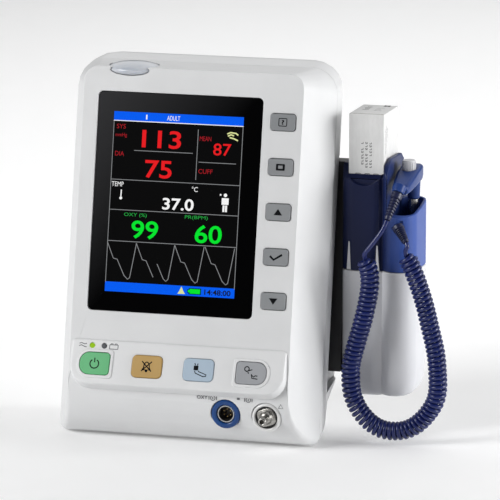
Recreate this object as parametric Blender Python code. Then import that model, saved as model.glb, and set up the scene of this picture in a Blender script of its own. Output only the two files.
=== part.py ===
"""Bedside vital signs monitor with a side-mounted predictive thermometer.

The monitor stands on its feet with its display leaning back. Lengths in this
file are millimetres and are turned into metres as each mesh is made.
World axes: +X to the right of someone facing the display, +Y to the back, +Z up.
"""
import math

import bmesh
import bpy
from mathutils import Vector

MM = 0.001

# Where the monitor's centre plane and its face datum lie from the origin.
BODY_X = -26.75
BODY_Y = -54.699

# The leaning front face.
LEAN = math.radians(11.3)
DATUM_Z = 7.0
FACE_HALF = 73.0
FACE_TOP = 235.0
FACE_CORNER = 9.0
CHIN_HEIGHT = 32.0
SEAM_DEPTH = 31.0
SEAM_HALF = 87.0
SEAM_CORNER = 18.0
FOOT_CORNER = 5.0
WALL = 2.5
GAP = 0.3

# Display, centred on its own point of the face.
GLASS_X = -8.1
GLASS_V = 149.0
GLASS_SIZE = (109.2, 140.0)
LCD_SIZE = (104.0, 144.0)

# Keys beside the display, from the top down.
SIDE_KEY_X = 60.5
SIDE_KEY_SIZE = (16.2, 10.7)
SIDE_KEYS = {
    "key_help": 204.5,
    "key_print": 176.0,
    "key_up": 147.5,
    "key_ok": 119.0,
    "key_down": 91.0,
}

# The raised bar under the display and its four large keys.
BAR_LOW = 32.0
BAR_HIGH = 60.0
BAR_HALF = 71.0
BAR_LOW_OUT = 7.0
BAR_HIGH_OUT = 0.9
BAR_SKIRT = 3.5
BAR_KEY_V = 44.7
BAR_KEY_SIZE = (20.0, 14.5)
BAR_KEYS = {
    "power_button": -54.4,
    "silence_button": -19.5,
    "cuff_button": 14.8,
    "trend_button": 49.8,
}
LED_V = 56.3
LEDS = {"ac_lamp": -57.4, "battery_lamp": -49.4}

# Sockets on the chin: x, y and z of the surface under each one.
SPO2_AT = (32.0, 9.6, 23.6)
NIBP_AT = (59.0, 9.6, 23.2)
SOCKET_DROP = math.radians(3.0)

# Thermometer module: plan of its two lobes, and its heights.
LOBE_LEFT = 92.0
LOBE_MID = 121.5
LOBE_RIGHT = 140.5
LOBE_FRONT = 61.0
LOBE_BACK = 105.0
LOBE_RADIUS = 9.0
PROBE_LOBE_RADIUS = 12.0
MODULE_CENTRE = (117.0, 83.0)
HOUSING_LOW = 28.0
HOUSING_TOP = 110.0
CORE_TOP = 129.4
CORE_INSET = 2.9
CHAMBER_TOP = 184.0
WELL_AT = (132.5, 93.0)
WELL_RADIUS = 6.6
EJECTOR_AT = (131.6, 84.0)
CARTON = ((96.5, 66.3, 132.0), (119.5, 102.3, 210.8))

# Probe cord.
LEAD_DIAMETER = 2.9
COIL_DIAMETER = 12.4

# Rear of the monitor.
BACK_Y = 104.5
BAY_WALL = 76.5
BAY_FLOOR = 79.5
BAY_LOW = 31.0
BAY_HIGH = 180.0
BAY_DEPTH = SEAM_DEPTH + 14.0
UP_BACK = math.radians(-90)


def clear_scene():
    for obj in list(bpy.data.objects):
        bpy.data.objects.remove(obj, do_unlink=True)


def make_material(name, color, roughness, metallic=0.0):
    material = bpy.data.materials.new(name)
    material.use_nodes = True
    shader = material.node_tree.nodes["Principled BSDF"]
    shader.inputs["Base Color"].default_value = (*color, 1.0)
    shader.inputs["Roughness"].default_value = roughness
    shader.inputs["Metallic"].default_value = metallic
    return material


def make_empty(name, place, parent=None, turn_x=0.0):
    empty = bpy.data.objects.new(name, None)
    bpy.context.collection.objects.link(empty)
    empty.parent = parent
    empty.location = Vector(place) * MM
    empty.rotation_euler.x = turn_x
    return empty


def make_object(name, mesh_data, material, parent, place=(0.0, 0.0, 0.0), smooth=False):
    """Turn a bmesh into a named object under its parent empty."""
    mesh = bpy.data.meshes.new(name)
    mesh_data.to_mesh(mesh)
    mesh_data.free()
    if material:
        mesh.materials.append(material)
    if smooth:
        mesh.shade_smooth()
        mesh.set_sharp_from_angle(angle=math.radians(35))
    obj = bpy.data.objects.new(name, mesh)
    bpy.context.collection.objects.link(obj)
    obj.parent = parent
    obj.location = Vector(place) * MM
    return obj


def cut_with(obj, cutter, operation="DIFFERENCE"):
    """Take a cutter away from an object, or join it on, with a live Boolean."""
    cutter.display_type = "WIRE"
    cutter.hide_render = True
    boolean = obj.modifiers.new(cutter.name, "BOOLEAN")
    boolean.operation = operation
    boolean.solver = "EXACT"
    boolean.object = cutter


def cut(obj, name, mesh_data, parent, place=(0.0, 0.0, 0.0)):
    cut_with(obj, make_object(name, mesh_data, None, parent, place))


def loft(rings, closed=False):
    """Skin rings of equal length; the ends are capped unless the loft is closed."""
    mesh_data = bmesh.new()
    layers = [[mesh_data.verts.new(Vector(point) * MM) for point in ring] for ring in rings]
    pairs = list(zip(layers, layers[1:]))
    if closed:
        pairs.append((layers[-1], layers[0]))
    for low, high in pairs:
        for index in range(len(low)):
            after = (index + 1) % len(low)
            mesh_data.faces.new((low[index], low[after], high[after], high[index]))
    if not closed:
        mesh_data.faces.new(layers[0][::-1])
        mesh_data.faces.new(layers[-1])
    bmesh.ops.recalc_face_normals(mesh_data, faces=mesh_data.faces)
    return mesh_data


def arc(centre, radius, start, end, steps):
    """Points on a circle from one angle to another, in degrees."""
    points = []
    for step in range(steps + 1):
        angle = math.radians(start + (end - start) * step / steps)
        points.append((centre[0] + radius * math.cos(angle), centre[1] + radius * math.sin(angle)))
    return points


def rounded_rect(half, low, high, radius_low, radius_high, steps=4):
    """Outline of a rectangle centred on x = 0 with its own radii below and above."""
    outline = arc((half - radius_low, low + radius_low), radius_low, -90, 0, steps)
    outline += arc((half - radius_high, high - radius_high), radius_high, 0, 90, steps)
    outline += arc((radius_high - half, high - radius_high), radius_high, 90, 180, steps)
    outline += arc((radius_low - half, low + radius_low), radius_low, 180, 270, steps)
    return outline


def plate_outline(size, radius, steps=3):
    return rounded_rect(size[0] / 2, -size[1] / 2, size[1] / 2, radius, radius, steps)


def level_ring(outline, height):
    return [(x, y, height) for x, y in outline]


def prism(outline, low, high):
    """An outline in x and y, raised from one height to another."""
    return loft([level_ring(outline, low), level_ring(outline, high)])


def side_prism(outline, low_x, high_x):
    """An outline in y and z, carried along x."""
    return loft([[(x, y, z) for y, z in outline] for x in (low_x, high_x)])


def block(low, high):
    outline = [(low[0], low[1]), (high[0], low[1]), (high[0], high[1]), (low[0], high[1])]
    return prism(outline, low[2], high[2])


def turned(profile, steps=20, closed=False):
    """Turn a chain of (radius, height) about z; its two ends become flat caps."""
    return loft([level_ring(arc((0, 0), radius, 0, 360 - 360 / steps, steps - 1), height)
                 for radius, height in profile], closed)


def stepped_key(size, radius, rings):
    """A key cap with a flange: each ring is (how much larger than the cap, height)."""
    return loft([level_ring(plate_outline((size[0] + extra, size[1] + extra),
                                          max(radius + extra / 2, 0.4)), height)
                 for extra, height in rings])


def shell_ring(angle, inset):
    """Ring of the front shell's skin; the angle runs from the face to the seam."""
    depth = SEAM_DEPTH - (SEAM_DEPTH - inset) * math.cos(angle)
    share = depth / SEAM_DEPTH
    half = FACE_HALF + (SEAM_HALF - FACE_HALF) * share - inset * 1.1
    low = CHIN_HEIGHT - (CHIN_HEIGHT - inset) * math.sin(angle)
    high = FACE_TOP + depth * math.tan(LEAN) - inset
    radius_low = 3.0 + (FOOT_CORNER - 3.0) * share
    radius_high = FACE_CORNER + (SEAM_CORNER - FACE_CORNER) * share - inset
    return level_ring(rounded_rect(half, low, high, radius_low, radius_high, 5), -depth)


def shell_skin(inset, past_seam=0.0):
    """The front shell's outer skin, or its cavity when it is inset."""
    rings = [shell_ring(math.radians(step * 15), inset) for step in range(7)]
    if past_seam:
        rings.append([(x, y, z - past_seam) for x, y, z in rings[-1]])
    return loft(rings)


def rear_ring(low, high, half, radius_low, radius_high, inset=0.0):
    """Ring of the rear shell on a plane through its lowest and highest line."""
    low = Vector(low)
    high = Vector(high)
    along = (high - low).normalized()
    length = (high - low).length
    outline = rounded_rect(half - inset, inset, length - inset, radius_low, radius_high, 5)
    points = []
    for x, distance in outline:
        spot = low + along * distance
        points.append((x, spot.x, spot.y))
    return points


def seam_line(depth):
    """Lowest and highest (y, z) of the seam plane, so far behind the face."""
    low = (depth * math.cos(LEAN), DATUM_Z - depth * math.sin(LEAN))
    height = FACE_TOP + depth * math.tan(LEAN)
    high = (height * math.sin(LEAN) + low[0], height * math.cos(LEAN) + low[1])
    return low, high


# The rear shell behind the seam: low (y, z), high (y, z), half width, both radii.
REAR_STATIONS = [
    ((44.0, 3.4), (88.0, 238.4), 87.0, 9.0, 18.0),
    ((54.0, 15.0), (93.5, 239.0), 86.0, 12.0, 18.0),
    ((90.0, 20.5), (99.5, 238.6), 82.0, 13.0, 17.0),
    ((100.5, 23.0), (103.2, 236.4), 77.5, 13.0, 16.0),
    ((BACK_Y, 28.0), (BACK_Y, 231.5), 71.0, 12.0, 14.0),
]


def rear_skin():
    low, high = seam_line(SEAM_DEPTH + GAP)
    rings = [rear_ring(low, high, SEAM_HALF, FOOT_CORNER, SEAM_CORNER)]
    rings += [rear_ring(*station) for station in REAR_STATIONS]
    return loft(rings)


def rear_cavity():
    """Hollow of the rear shell; its right side stays inside the module bay's wall."""
    wall = WALL + 0.5
    low, high = seam_line(SEAM_DEPTH - 2.0)
    rings = [rear_ring(low, high, SEAM_HALF, FOOT_CORNER, SEAM_CORNER - wall, wall)]
    for low, high, half, radius_low, radius_high in REAR_STATIONS[:-1]:
        rings.append(rear_ring((low[0] - 1, low[1]), (high[0] - 1.5, high[1]), half,
                               radius_low - wall, radius_high - wall, wall))
    back_y = BACK_Y - wall
    rings.append(rear_ring((back_y, 28.0), (back_y, 231.5), 72.0, 9.0, 11.0, wall))
    return loft([[(min(x, BAY_WALL), y, z) for x, y, z in ring] for ring in rings])


def slanted_bar(half, low, high, radius_low, radius_high, flat=None):
    """Outline of the key bar on its sloping front plane, or on a flat plane."""
    slope = (BAR_LOW_OUT - BAR_HIGH_OUT) / (BAR_HIGH - BAR_LOW)
    ring = []
    for x, height in rounded_rect(half, low, high, radius_low, radius_high, 6):
        out = BAR_HIGH_OUT + (BAR_HIGH - height) * slope if flat is None else flat
        ring.append((x, height, out))
    return ring


def lobe_outline(inset=0.0):
    """Plan of the module: the carton lobe at the left and the round probe lobe."""
    left = (LOBE_MID - LOBE_RADIUS, LOBE_FRONT + LOBE_RADIUS)
    right = (LOBE_RIGHT - PROBE_LOBE_RADIUS, LOBE_FRONT + PROBE_LOBE_RADIUS - 1.0)
    reach = Vector((right[0] - left[0], right[1] - left[1]))
    span = reach.length
    share = (span ** 2 + LOBE_RADIUS ** 2 - PROBE_LOBE_RADIUS ** 2) / (2 * span)
    rise = math.sqrt(LOBE_RADIUS ** 2 - share ** 2)
    unit = reach / span
    meet = Vector(left) + unit * share + Vector((unit.y, -unit.x)) * rise
    left_end = math.degrees(math.atan2(meet.y - left[1], meet.x - left[0]))
    right_start = math.degrees(math.atan2(meet.y - right[1], meet.x - right[0]))
    corner = 5.0
    outline = arc((LOBE_LEFT + LOBE_RADIUS, left[1]), LOBE_RADIUS, 180, 270, 4)
    outline += arc(left, LOBE_RADIUS, -90, left_end, 3)
    outline += arc(right, PROBE_LOBE_RADIUS, right_start, 0, 8)[1:]
    outline += arc((right[0], LOBE_BACK - PROBE_LOBE_RADIUS), PROBE_LOBE_RADIUS, 0, 90, 6)
    outline += arc((LOBE_LEFT + corner, LOBE_BACK - corner), corner, 90, 180, 3)
    scale_x = 1 - 2 * inset / (LOBE_RIGHT - LOBE_LEFT)
    scale_y = 1 - 2 * inset / (LOBE_BACK - LOBE_FRONT)
    centre_x, centre_y = MODULE_CENTRE
    return [(centre_x + (x - centre_x) * scale_x, centre_y + (y - centre_y) * scale_y)
            for x, y in outline]


def smooth_route(points, spacing):
    """Even steps along a smooth curve through a list of points."""
    points = [Vector(point) for point in points]
    chain = [points[0] * 2 - points[1]] + points + [points[-1] * 2 - points[-2]]
    dense = []
    for index in range(1, len(chain) - 2):
        before, start, end, after = chain[index - 1:index + 3]
        for step in range(12):
            t = step / 12
            dense.append(0.5 * (2 * start + (end - before) * t
                                + (2 * before - 5 * start + 4 * end - after) * t ** 2
                                + (3 * start - before - 3 * end + after) * t ** 3))
    dense.append(points[-1])
    length = sum((b - a).length for a, b in zip(dense, dense[1:]))
    count = max(2, round(length / spacing))
    route = [dense[0]]
    walked = 0.0
    for a, b in zip(dense, dense[1:]):
        step = (b - a).length
        while len(route) < count and walked + step >= length * len(route) / count - 1e-9:
            share = (length * len(route) / count - walked) / step
            route.append(a.lerp(b, share))
        walked += step
    route.append(dense[-1])
    return route


def make_tube(name, points, spacing, diameter, sides, material, parent):
    """A cord's plain tube along a smooth route."""
    curve = bpy.data.curves.new(name, "CURVE")
    curve.dimensions = "3D"
    curve.bevel_depth = diameter / 2 * MM
    curve.bevel_resolution = sides
    curve.use_fill_caps = True
    route = smooth_route(points, spacing)
    spline = curve.splines.new("POLY")
    spline.points.add(len(route) - 1)
    for spot, point in zip(spline.points, route):
        spot.co = (*(point * MM), 1.0)
    curve.materials.append(material)
    obj = bpy.data.objects.new(name, curve)
    bpy.context.collection.objects.link(obj)
    obj.parent = parent
    return obj


def build_front_shell(face, body, white):
    shell = make_object("front_shell", shell_skin(0.0), white, face)
    cut(shell, "shell_cavity_cutter", shell_skin(WALL, past_seam=3.0), face)
    glass_hole = plate_outline((GLASS_SIZE[0] + 2 * GAP, GLASS_SIZE[1] + 2 * GAP), 3.2, 4)
    cut(shell, "glass_cutter", prism(glass_hole, -6, 4), face, (GLASS_X, GLASS_V, 0))
    for name, height in SIDE_KEYS.items():
        hole = plate_outline((SIDE_KEY_SIZE[0] + 2 * GAP, SIDE_KEY_SIZE[1] + 2 * GAP), 2.1)
        cut(shell, name + "_cutter", prism(hole, -6, 4), face, (SIDE_KEY_X, height, 0))
    bar_hole = plate_outline((135.0, 22.0), 2.0)
    cut(shell, "bar_opening_cutter", prism(bar_hole, -6, 4), face, (0, BAR_KEY_V, 0))
    for name, spot, radius in (("spo2", SPO2_AT, 7.9), ("nibp", NIBP_AT, 7.4)):
        socket = make_empty(name + "_cutter_frame", spot, body, math.radians(90) + SOCKET_DROP)
        cut(shell, name + "_seat_cutter", turned([(9.9, 0.0), (9.9, 12.0)], 24), socket)
        cut(shell, name + "_hole_cutter", turned([(radius, -14.0), (radius, 5.0)], 24), socket)
    cut(shell, "lens_cutter_front", lens_solid(GAP), body)
    return shell


def lens_solid(grow=0.0):
    """The alarm lens: a flattened ball let into the front top edge."""
    centre = (-43.0, 56.0, 235.4)
    size = (17.8 + grow, 14.6 + grow, 4.6 + grow)
    ball = bmesh.new()
    bmesh.ops.create_uvsphere(ball, u_segments=24, v_segments=12, radius=MM)
    for vert in ball.verts:
        vert.co = Vector(((centre[0] * MM + vert.co.x * size[0]),
                          (centre[1] * MM + vert.co.y * size[1]),
                          (centre[2] * MM + vert.co.z * size[2])))
    return ball


def build_display(face, glass, dark, metal):
    window = plate_outline(GLASS_SIZE, 3.0, 4)
    make_object("display_window", prism(window, -2.5, -0.7), glass, face,
                (GLASS_X, GLASS_V, 0))
    panel = plate_outline(LCD_SIZE, 1.0, 2)
    make_object("lcd_panel", prism(panel, -9.2, -2.9), dark, face, (GLASS_X, GLASS_V, 0))
    carrier = plate_outline((136.0, 186.0), 4.0, 2)
    make_object("display_carrier", prism(carrier, -13.2, -11.8), metal, face, (0, 132, 0))


def build_side_keys(face, grey, board):
    for name, height in SIDE_KEYS.items():
        rings = [(-9.0, -6.0), (-9.0, -4.2), (2.0, -4.2), (2.0, -2.9),
                 (0.0, -2.9), (0.0, 0.5), (-0.8, 1.0)]
        make_object(name, stepped_key(SIDE_KEY_SIZE, 1.8, rings), grey, face,
                    (SIDE_KEY_X, height, 0))
    strip = plate_outline((14.0, 136.0), 1.0, 2)
    make_object("side_key_board", prism(strip, -9.4, -7.8), board, face,
                (SIDE_KEY_X, SIDE_KEYS["key_up"], 0))


def build_key_bar(face, materials):
    """The raised bar, its four keys, its two lamps and the board behind."""
    bar = make_object("key_bar", loft([
        slanted_bar(BAR_HALF + 1.0, BAR_LOW - BAR_SKIRT, BAR_HIGH + 0.4, 13.0, 3.0, GAP),
        slanted_bar(BAR_HALF, BAR_LOW, BAR_HIGH, 12.0, 2.6)]), materials["white"], face)
    slope = math.atan2(BAR_LOW_OUT - BAR_HIGH_OUT, BAR_HIGH - BAR_LOW)

    def out_at(height):
        return BAR_HIGH_OUT + (BAR_HIGH - height) * math.tan(slope)

    for name, x in BAR_KEYS.items():
        frame = make_empty(name + "_frame", (x, BAR_KEY_V, out_at(BAR_KEY_V)), face, -slope)
        hole = plate_outline((BAR_KEY_SIZE[0] + 2 * GAP, BAR_KEY_SIZE[1] + 2 * GAP), 3.3)
        cut(bar, name + "_cutter", prism(hole, -9, 4), frame)
        rings = [(-10.0, -10.0), (-10.0, -8.2), (2.0, -8.2), (2.0, -7.0),
                 (0.0, -7.0), (0.0, 0.6), (-1.0, 1.2)]
        make_object(name, stepped_key(BAR_KEY_SIZE, 3.0, rings), materials[name], frame)
    for name, x in LEDS.items():
        frame = make_empty(name + "_frame", (x, LED_V, out_at(LED_V)), face, -slope)
        cut(bar, name + "_cutter", turned([(1.95, -4.0), (1.95, 3.0)], 12), frame)
        make_object(name, turned([(1.65, -1.0), (1.65, 0.2), (1.0, 0.6)], 12),
                    materials[name], frame)
    board = plate_outline((128.0, 20.0), 1.0, 2)
    make_object("bar_key_board", prism(board, -11.6, -10.0), materials["board"], face,
                (0, BAR_KEY_V, 0))


def build_sockets(body, materials):
    """Pulse oximeter socket and blood pressure hose fitting on the chin."""
    turn = math.radians(90) + SOCKET_DROP
    spo2 = make_empty("spo2_frame", SPO2_AT, body, turn)
    ring = [(6.0, -9.0), (7.5, -9.0), (7.5, 0.3), (9.5, 0.3), (9.5, 2.4), (8.8, 3.2), (6.0, 3.2)]
    make_object("spo2_ring", turned(ring, 24, closed=True), materials["socket_blue"], spo2,
                smooth=True)
    insert = [(5.7, -14.0), (5.7, 1.2), (4.9, 1.6), (4.4, 1.0), (4.4, -6.0)]
    make_object("spo2_contact_block", turned(insert, 24), materials["dark"], spo2, smooth=True)
    nibp = make_empty("nibp_frame", NIBP_AT, body, turn)
    collar = [(7.4, 0.3), (9.6, 0.3), (9.4, 2.8), (8.6, 3.6), (7.4, 3.6)]
    make_object("cuff_collar", turned(collar, 24, closed=True), materials["white"], nibp,
                smooth=True)
    fitting = [(7.0, -12.0), (7.0, 1.4), (6.2, 2.2), (3.4, 2.4), (3.4, 5.0), (2.3, 5.6),
               (2.3, 10.4), (2.7, 10.8), (2.7, 13.0), (2.3, 13.4), (1.4, 13.4), (1.4, 7.0)]
    make_object("cuff_hose_fitting", turned(fitting, 20), materials["metal"], nibp, smooth=True)


def build_rear(body, materials):
    """Rear shell with its vents, the module bay and its openings for connectors."""
    shell = make_object("rear_shell", rear_skin(), materials["white"], body)
    cut(shell, "rear_cavity_cutter", rear_cavity(), body)
    low_y, high_y = [(height - DATUM_Z) * math.tan(LEAN) + BAY_DEPTH / math.cos(LEAN)
                     for height in (BAY_LOW, BAY_HIGH)]
    bay = [(low_y, BAY_LOW), (112, BAY_LOW + 2), (112, BAY_HIGH), (high_y, BAY_HIGH)]
    cut(shell, "module_bay_cutter", side_prism(bay, BAY_FLOOR, 95), body)
    for row in range(6):
        frame = make_empty("vent_frame", (0, BACK_Y, 214 - 6 * row), body, UP_BACK)
        slot = plate_outline((44.0, 2.6), 1.2, 2)
        cut(shell, "vent_cutter", prism(slot, -5, 5), frame)
    for name, (spot, size) in REAR_OPENINGS.items():
        frame = make_empty(name + "_frame", spot, body, UP_BACK)
        hole = plate_outline((size[0] + 2 * GAP, size[1] + 2 * GAP), 1.6, 2)
        cut(shell, name + "_cutter", prism(hole, -6, 4), frame)
        build_connector(name, size, frame, materials)
    for name, spot, radius in (("fuse_holder", FUSE_AT, 6.3), ("ground_stud", STUD_AT, 3.3)):
        frame = make_empty(name + "_frame", spot, body, UP_BACK)
        cut(shell, name + "_cutter", turned([(radius, -6), (radius, 4)], 16), frame)
    fuse = [(6.0, -26.0), (6.0, 0.3), (7.6, 0.3), (7.6, 2.6), (6.6, 3.4), (3.2, 3.4), (3.2, 2.4)]
    make_object("fuse_holder", turned(fuse, 16), materials["dark"],
                make_empty("fuse_place", FUSE_AT, body, UP_BACK), smooth=True)
    stud = [(3.0, -10.0), (3.0, 0.3), (4.6, 0.3), (4.6, 1.8), (3.0, 2.2), (3.0, 8.0), (2.4, 8.8)]
    make_object("ground_stud", turned(stud, 16), materials["metal"],
                make_empty("stud_place", STUD_AT, body, UP_BACK), smooth=True)
    build_rear_trim(body, materials)


# Connector openings in the back: centre, then width and height.
REAR_OPENINGS = {
    "ac_inlet": ((-42.0, BACK_Y, 78.0), (27.6, 20.0)),
    "network_port": ((44.0, BACK_Y, 78.0), (16.0, 13.6)),
    "battery_door": ((0.0, BACK_Y, 46.0), (104.0, 24.0)),
}
FUSE_AT = (-14.0, BACK_Y, 78.0)
STUD_AT = (8.0, BACK_Y, 78.0)


def build_connector(name, size, frame, materials):
    """A socket with its recess, or the flat door over the battery."""
    if name == "battery_door":
        door = plate_outline(size, 1.5, 2)
        make_object(name, prism(door, -2.4, 0.2), materials["white"], frame)
        return
    outline = plate_outline(size, 1.4, 2)
    flange = plate_outline((size[0] + 4, size[1] + 4), 2.0, 2)
    recess = plate_outline((size[0] - 4.4, size[1] - 4.4), 1.0, 2)
    rings = [level_ring(outline, -19.0), level_ring(outline, 0.3), level_ring(flange, 0.3),
             level_ring(flange, 1.7), level_ring(recess, 1.7), level_ring(recess, -12.0)]
    make_object(name, loft(rings), materials["dark"], frame)


def build_rear_trim(body, materials):
    """Mounting plate, case screws, base block and feet."""
    plate_frame = make_empty("mount_plate_frame", (0, BACK_Y, 140.0), body, UP_BACK)
    plate = plate_outline((74.0, 74.0), 4.0, 3)
    make_object("mounting_plate", prism(plate, 0.3, 2.8), materials["metal"], plate_frame)
    screw = [(2.6, 0.3), (2.6, 1.2), (1.8, 1.9), (1.0, 1.9), (1.0, 1.0)]
    for index, (x, height) in enumerate(((-60, 205), (60, 205), (-60, 60), (60, 60))):
        frame = make_empty("screw_frame", (x, BACK_Y, height), body, UP_BACK)
        make_object(f"case_screw_{index + 1}", turned(screw, 12), materials["metal"], frame)
    under = [(57.0, 2.3), (97.0, 2.3), (97.0, 21.4), (90.0, 19.8), (57.0, 14.8)]
    make_object("base_block", side_prism(under, -62.0, 62.0), materials["white"], body)
    for side, x in (("left", -58.0), ("right", 58.0)):
        pad = plate_outline((16.0, 7.0), 2.0, 3)
        make_object("front_foot_" + side, prism(pad, 0.0, 1.5), materials["rubber"], body,
                    (x, 40.0, 0))
        disc = [(6.5, 0.0), (6.5, 1.2), (5.8, 2.0)]
        make_object("rear_foot_" + side, turned(disc, 16), materials["rubber"], body,
                    (0.85 * x, 88.0, 0))


def build_inside(face, body, materials):
    """What the two shells hold: boards, power supply, battery, pump, valves, speaker."""
    board = plate_outline((124.0, 150.0), 2.0, 2)
    make_object("main_board", prism(board, -21.0, -19.4), materials["board"], face, (0, 142, 0))
    make_object("power_supply", block((-64, 78, 96), (-10, 98, 160)), materials["metal"], body)
    make_object("battery_pack", block((-50, 68, 30), (50, 99.5, 62)), materials["dark"], body)
    pump_frame = make_empty("cuff_pump_frame", (4.0, 84.0, 108.0), body)
    pump_frame.rotation_euler.y = math.radians(90)
    pump = [(10.0, 0.0), (13.0, 1.5), (13.0, 34.0), (9.0, 34.0), (9.0, 50.0), (3.0, 50.0),
            (3.0, 56.0)]
    make_object("cuff_pump", turned(pump, 16), materials["metal"], pump_frame, smooth=True)
    speaker_frame = make_empty("speaker_frame", (-44.0, 90.0, 192.0), body, UP_BACK)
    speaker = [(10.0, -8.0), (10.0, 0.0), (18.0, 5.0), (18.0, 8.0), (15.0, 8.0), (6.0, 3.0)]
    make_object("speaker", turned(speaker, 18), materials["dark"], speaker_frame, smooth=True)


def build_housing(body, materials):
    """White thermometer housing with its core, back cover, board and bracket."""
    centre_x, centre_y = MODULE_CENTRE

    def scaled(share, height):
        return [(centre_x + (x - centre_x) * share, centre_y + (y - centre_y) * share, height)
                for x, y in lobe_outline()]

    rings = [scaled(0.72, HOUSING_LOW), scaled(0.84, HOUSING_LOW + 1.5),
             scaled(0.93, HOUSING_LOW + 5), scaled(0.98, HOUSING_LOW + 11),
             scaled(1.0, HOUSING_LOW + 19), scaled(1.0, HOUSING_TOP),
             level_ring(lobe_outline(CORE_INSET), HOUSING_TOP),
             level_ring(lobe_outline(CORE_INSET), CORE_TOP)]
    housing = make_object("thermometer_housing", loft(rings), materials["white"], body)
    well = turned([(WELL_RADIUS + GAP, 52.0), (WELL_RADIUS + GAP, CORE_TOP + 5)], 20)
    cut(housing, "well_bore_cutter", well, body, (*WELL_AT, 0))
    cut(housing, "board_space_cutter", block((96, 66, 44), (119, 110, 104)), body)
    make_object("thermometer_board", block((98, 90, 50), (117, 91.6, 100)),
                materials["board"], body)
    make_object("thermometer_back_cover", block((96.3, 102, 44.3), (118.7, 104.6, 103.7)),
                materials["white"], body)
    bracket = make_object("module_bracket", side_prism([
        (66, 42), (101, 42), (101, 173), (98, 176), (85.5, 176), (83, 173)], BAY_FLOOR + GAP,
        LOBE_LEFT - GAP), materials["dark"], body)
    cut(bracket, "bracket_relief_cutter", block((83, 84, 60), (95, 97, 130)), body)


def build_chamber(body, materials):
    """Blue chamber that lifts off the housing and holds the carton and the probe."""
    chamber = make_object("isolation_chamber",
                          prism(lobe_outline(), HOUSING_TOP + GAP, CHAMBER_TOP),
                          materials["blue"], body)
    core = prism(lobe_outline(CORE_INSET - GAP), HOUSING_TOP - 2, CORE_TOP + GAP)
    cut(chamber, "core_space_cutter", core, body)
    low, high = CARTON
    cut(chamber, "carton_space_cutter",
        block([value - GAP for value in low], (high[0] + GAP, high[1] + GAP, 200)), body)
    crest = LOBE_MID - 1.5
    left_rim = [(55, 169.5), (63, 169.5), (72, 178), (108, 180), (108, 200), (55, 200)]
    cut(chamber, "left_rim_cutter", side_prism(left_rim, 85, crest), body)
    cut(chamber, "rim_dip_cutter", turned([(13.0, -8.0), (13.0, 2.2)], 24),
        make_empty("rim_dip_frame", (108.0, LOBE_FRONT, 178.5), body, UP_BACK))
    crest_line = [(55, 166), (60.5, 166), (62.5, 173), (66.5, 178.5), (74, 181.5), (99, 181.0),
                  (104, 177.5), (108, 177.0), (108, 200), (55, 200)]
    cut(chamber, "crest_cutter", side_prism(crest_line, crest - 1, crest + 4), body)
    well_rim = [(55, 145.0), (66, 147.0), (84, 149.5), (98, 152.5), (108, 153), (108, 200),
                (55, 200)]
    cut(chamber, "well_rim_cutter", side_prism(well_rim, crest + 3, 150), body)
    trough = rounded_rect(7.2, 65.0, 101.5, 6.5, 6.5, 4)
    cut(chamber, "trough_cutter", prism(trough, 134, 190), body, (131.2, 0, 0))
    well = turned([(WELL_RADIUS + GAP, 109.0), (WELL_RADIUS + GAP, 140.0)], 20)
    cut(chamber, "well_cutter", well, body, (*WELL_AT, 0))
    socket_turn = make_empty("socket_relief_cutter_frame", SOCKET_RELIEF[0], body)
    socket_turn.rotation_euler = relief_turn(SOCKET_RELIEF)
    cut(chamber, "cord_socket_cutter", turned([(4.3, -2.0), (4.3, 9.0)], 16), socket_turn)
    for name, x, top, half in (("front_slot", 98.0, 129.0, 1.5), ("valley_slot", 116.4, 127.0, 1.6)):
        wedge = loft([[(x - half, y, 105), (x + half, y, 105), (x + 0.4, y, top),
                       (x - 0.4, y, top)] for y in (55, 66)])
        cut(chamber, name + "_cutter", wedge, body)
    tube = [(WELL_RADIUS, 54.0), (WELL_RADIUS, 133.7), (5.0, 133.7), (5.0, 57.0)]
    make_object("probe_well", turned(tube, 20), materials["blue"], body, (*WELL_AT, 0),
                smooth=True)
    make_object("probe_cover_carton", block(*CARTON), materials["carton"], body)


# Strain reliefs: where each starts and ends, and its two radii.
PROBE_RELIEF = ((131.0, 57.4, 162.4), (127.0, 46.5, 147.0), 3.6, 2.2)
SOCKET_RELIEF = ((130.6, 59.2, 140.6), (138.0, 52.4, 131.8), 3.8, 2.2)


def relief_turn(relief):
    direction = Vector(relief[1]) - Vector(relief[0])
    return direction.to_track_quat("Z", "Y").to_euler()


def build_relief(name, relief, material, body):
    """A tapered relief with a few grooves."""
    start, end, thick, thin = relief
    length = (Vector(end) - Vector(start)).length
    frame = make_empty(name + "_frame", start, body)
    frame.rotation_euler = relief_turn(relief)
    profile = [(thick, 0.0), (thick, 0.22 * length)]
    grooves = 4
    for index in range(grooves):
        at = 0.3 + 0.6 * index / grooves
        radius = thick + (thin - thick) * at
        profile += [(radius - 0.7, at * length), (radius - 0.7, (at + 0.05) * length),
                    (radius, (at + 0.06) * length), (radius, (at + 0.11) * length)]
    profile += [(thin, length - 0.4), (thin - 0.3, length)]
    make_object(name, turned(profile, 14), material, frame, smooth=True)


# Sections along the probe's handle: y, half width, lowest and highest z.
HANDLE_STATIONS = [
    (61.0, 4.4, 161.4, 166.2),
    (62.2, 5.4, 160.8, 167.0),
    (68.0, 6.2, 161.4, 169.2),
    (80.0, 7.0, 163.4, 173.2),
    (92.0, 7.0, 164.8, 175.2),
    (97.0, 6.2, 166.0, 175.0),
    (99.0, 4.4, 168.0, 173.4),
]


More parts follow.
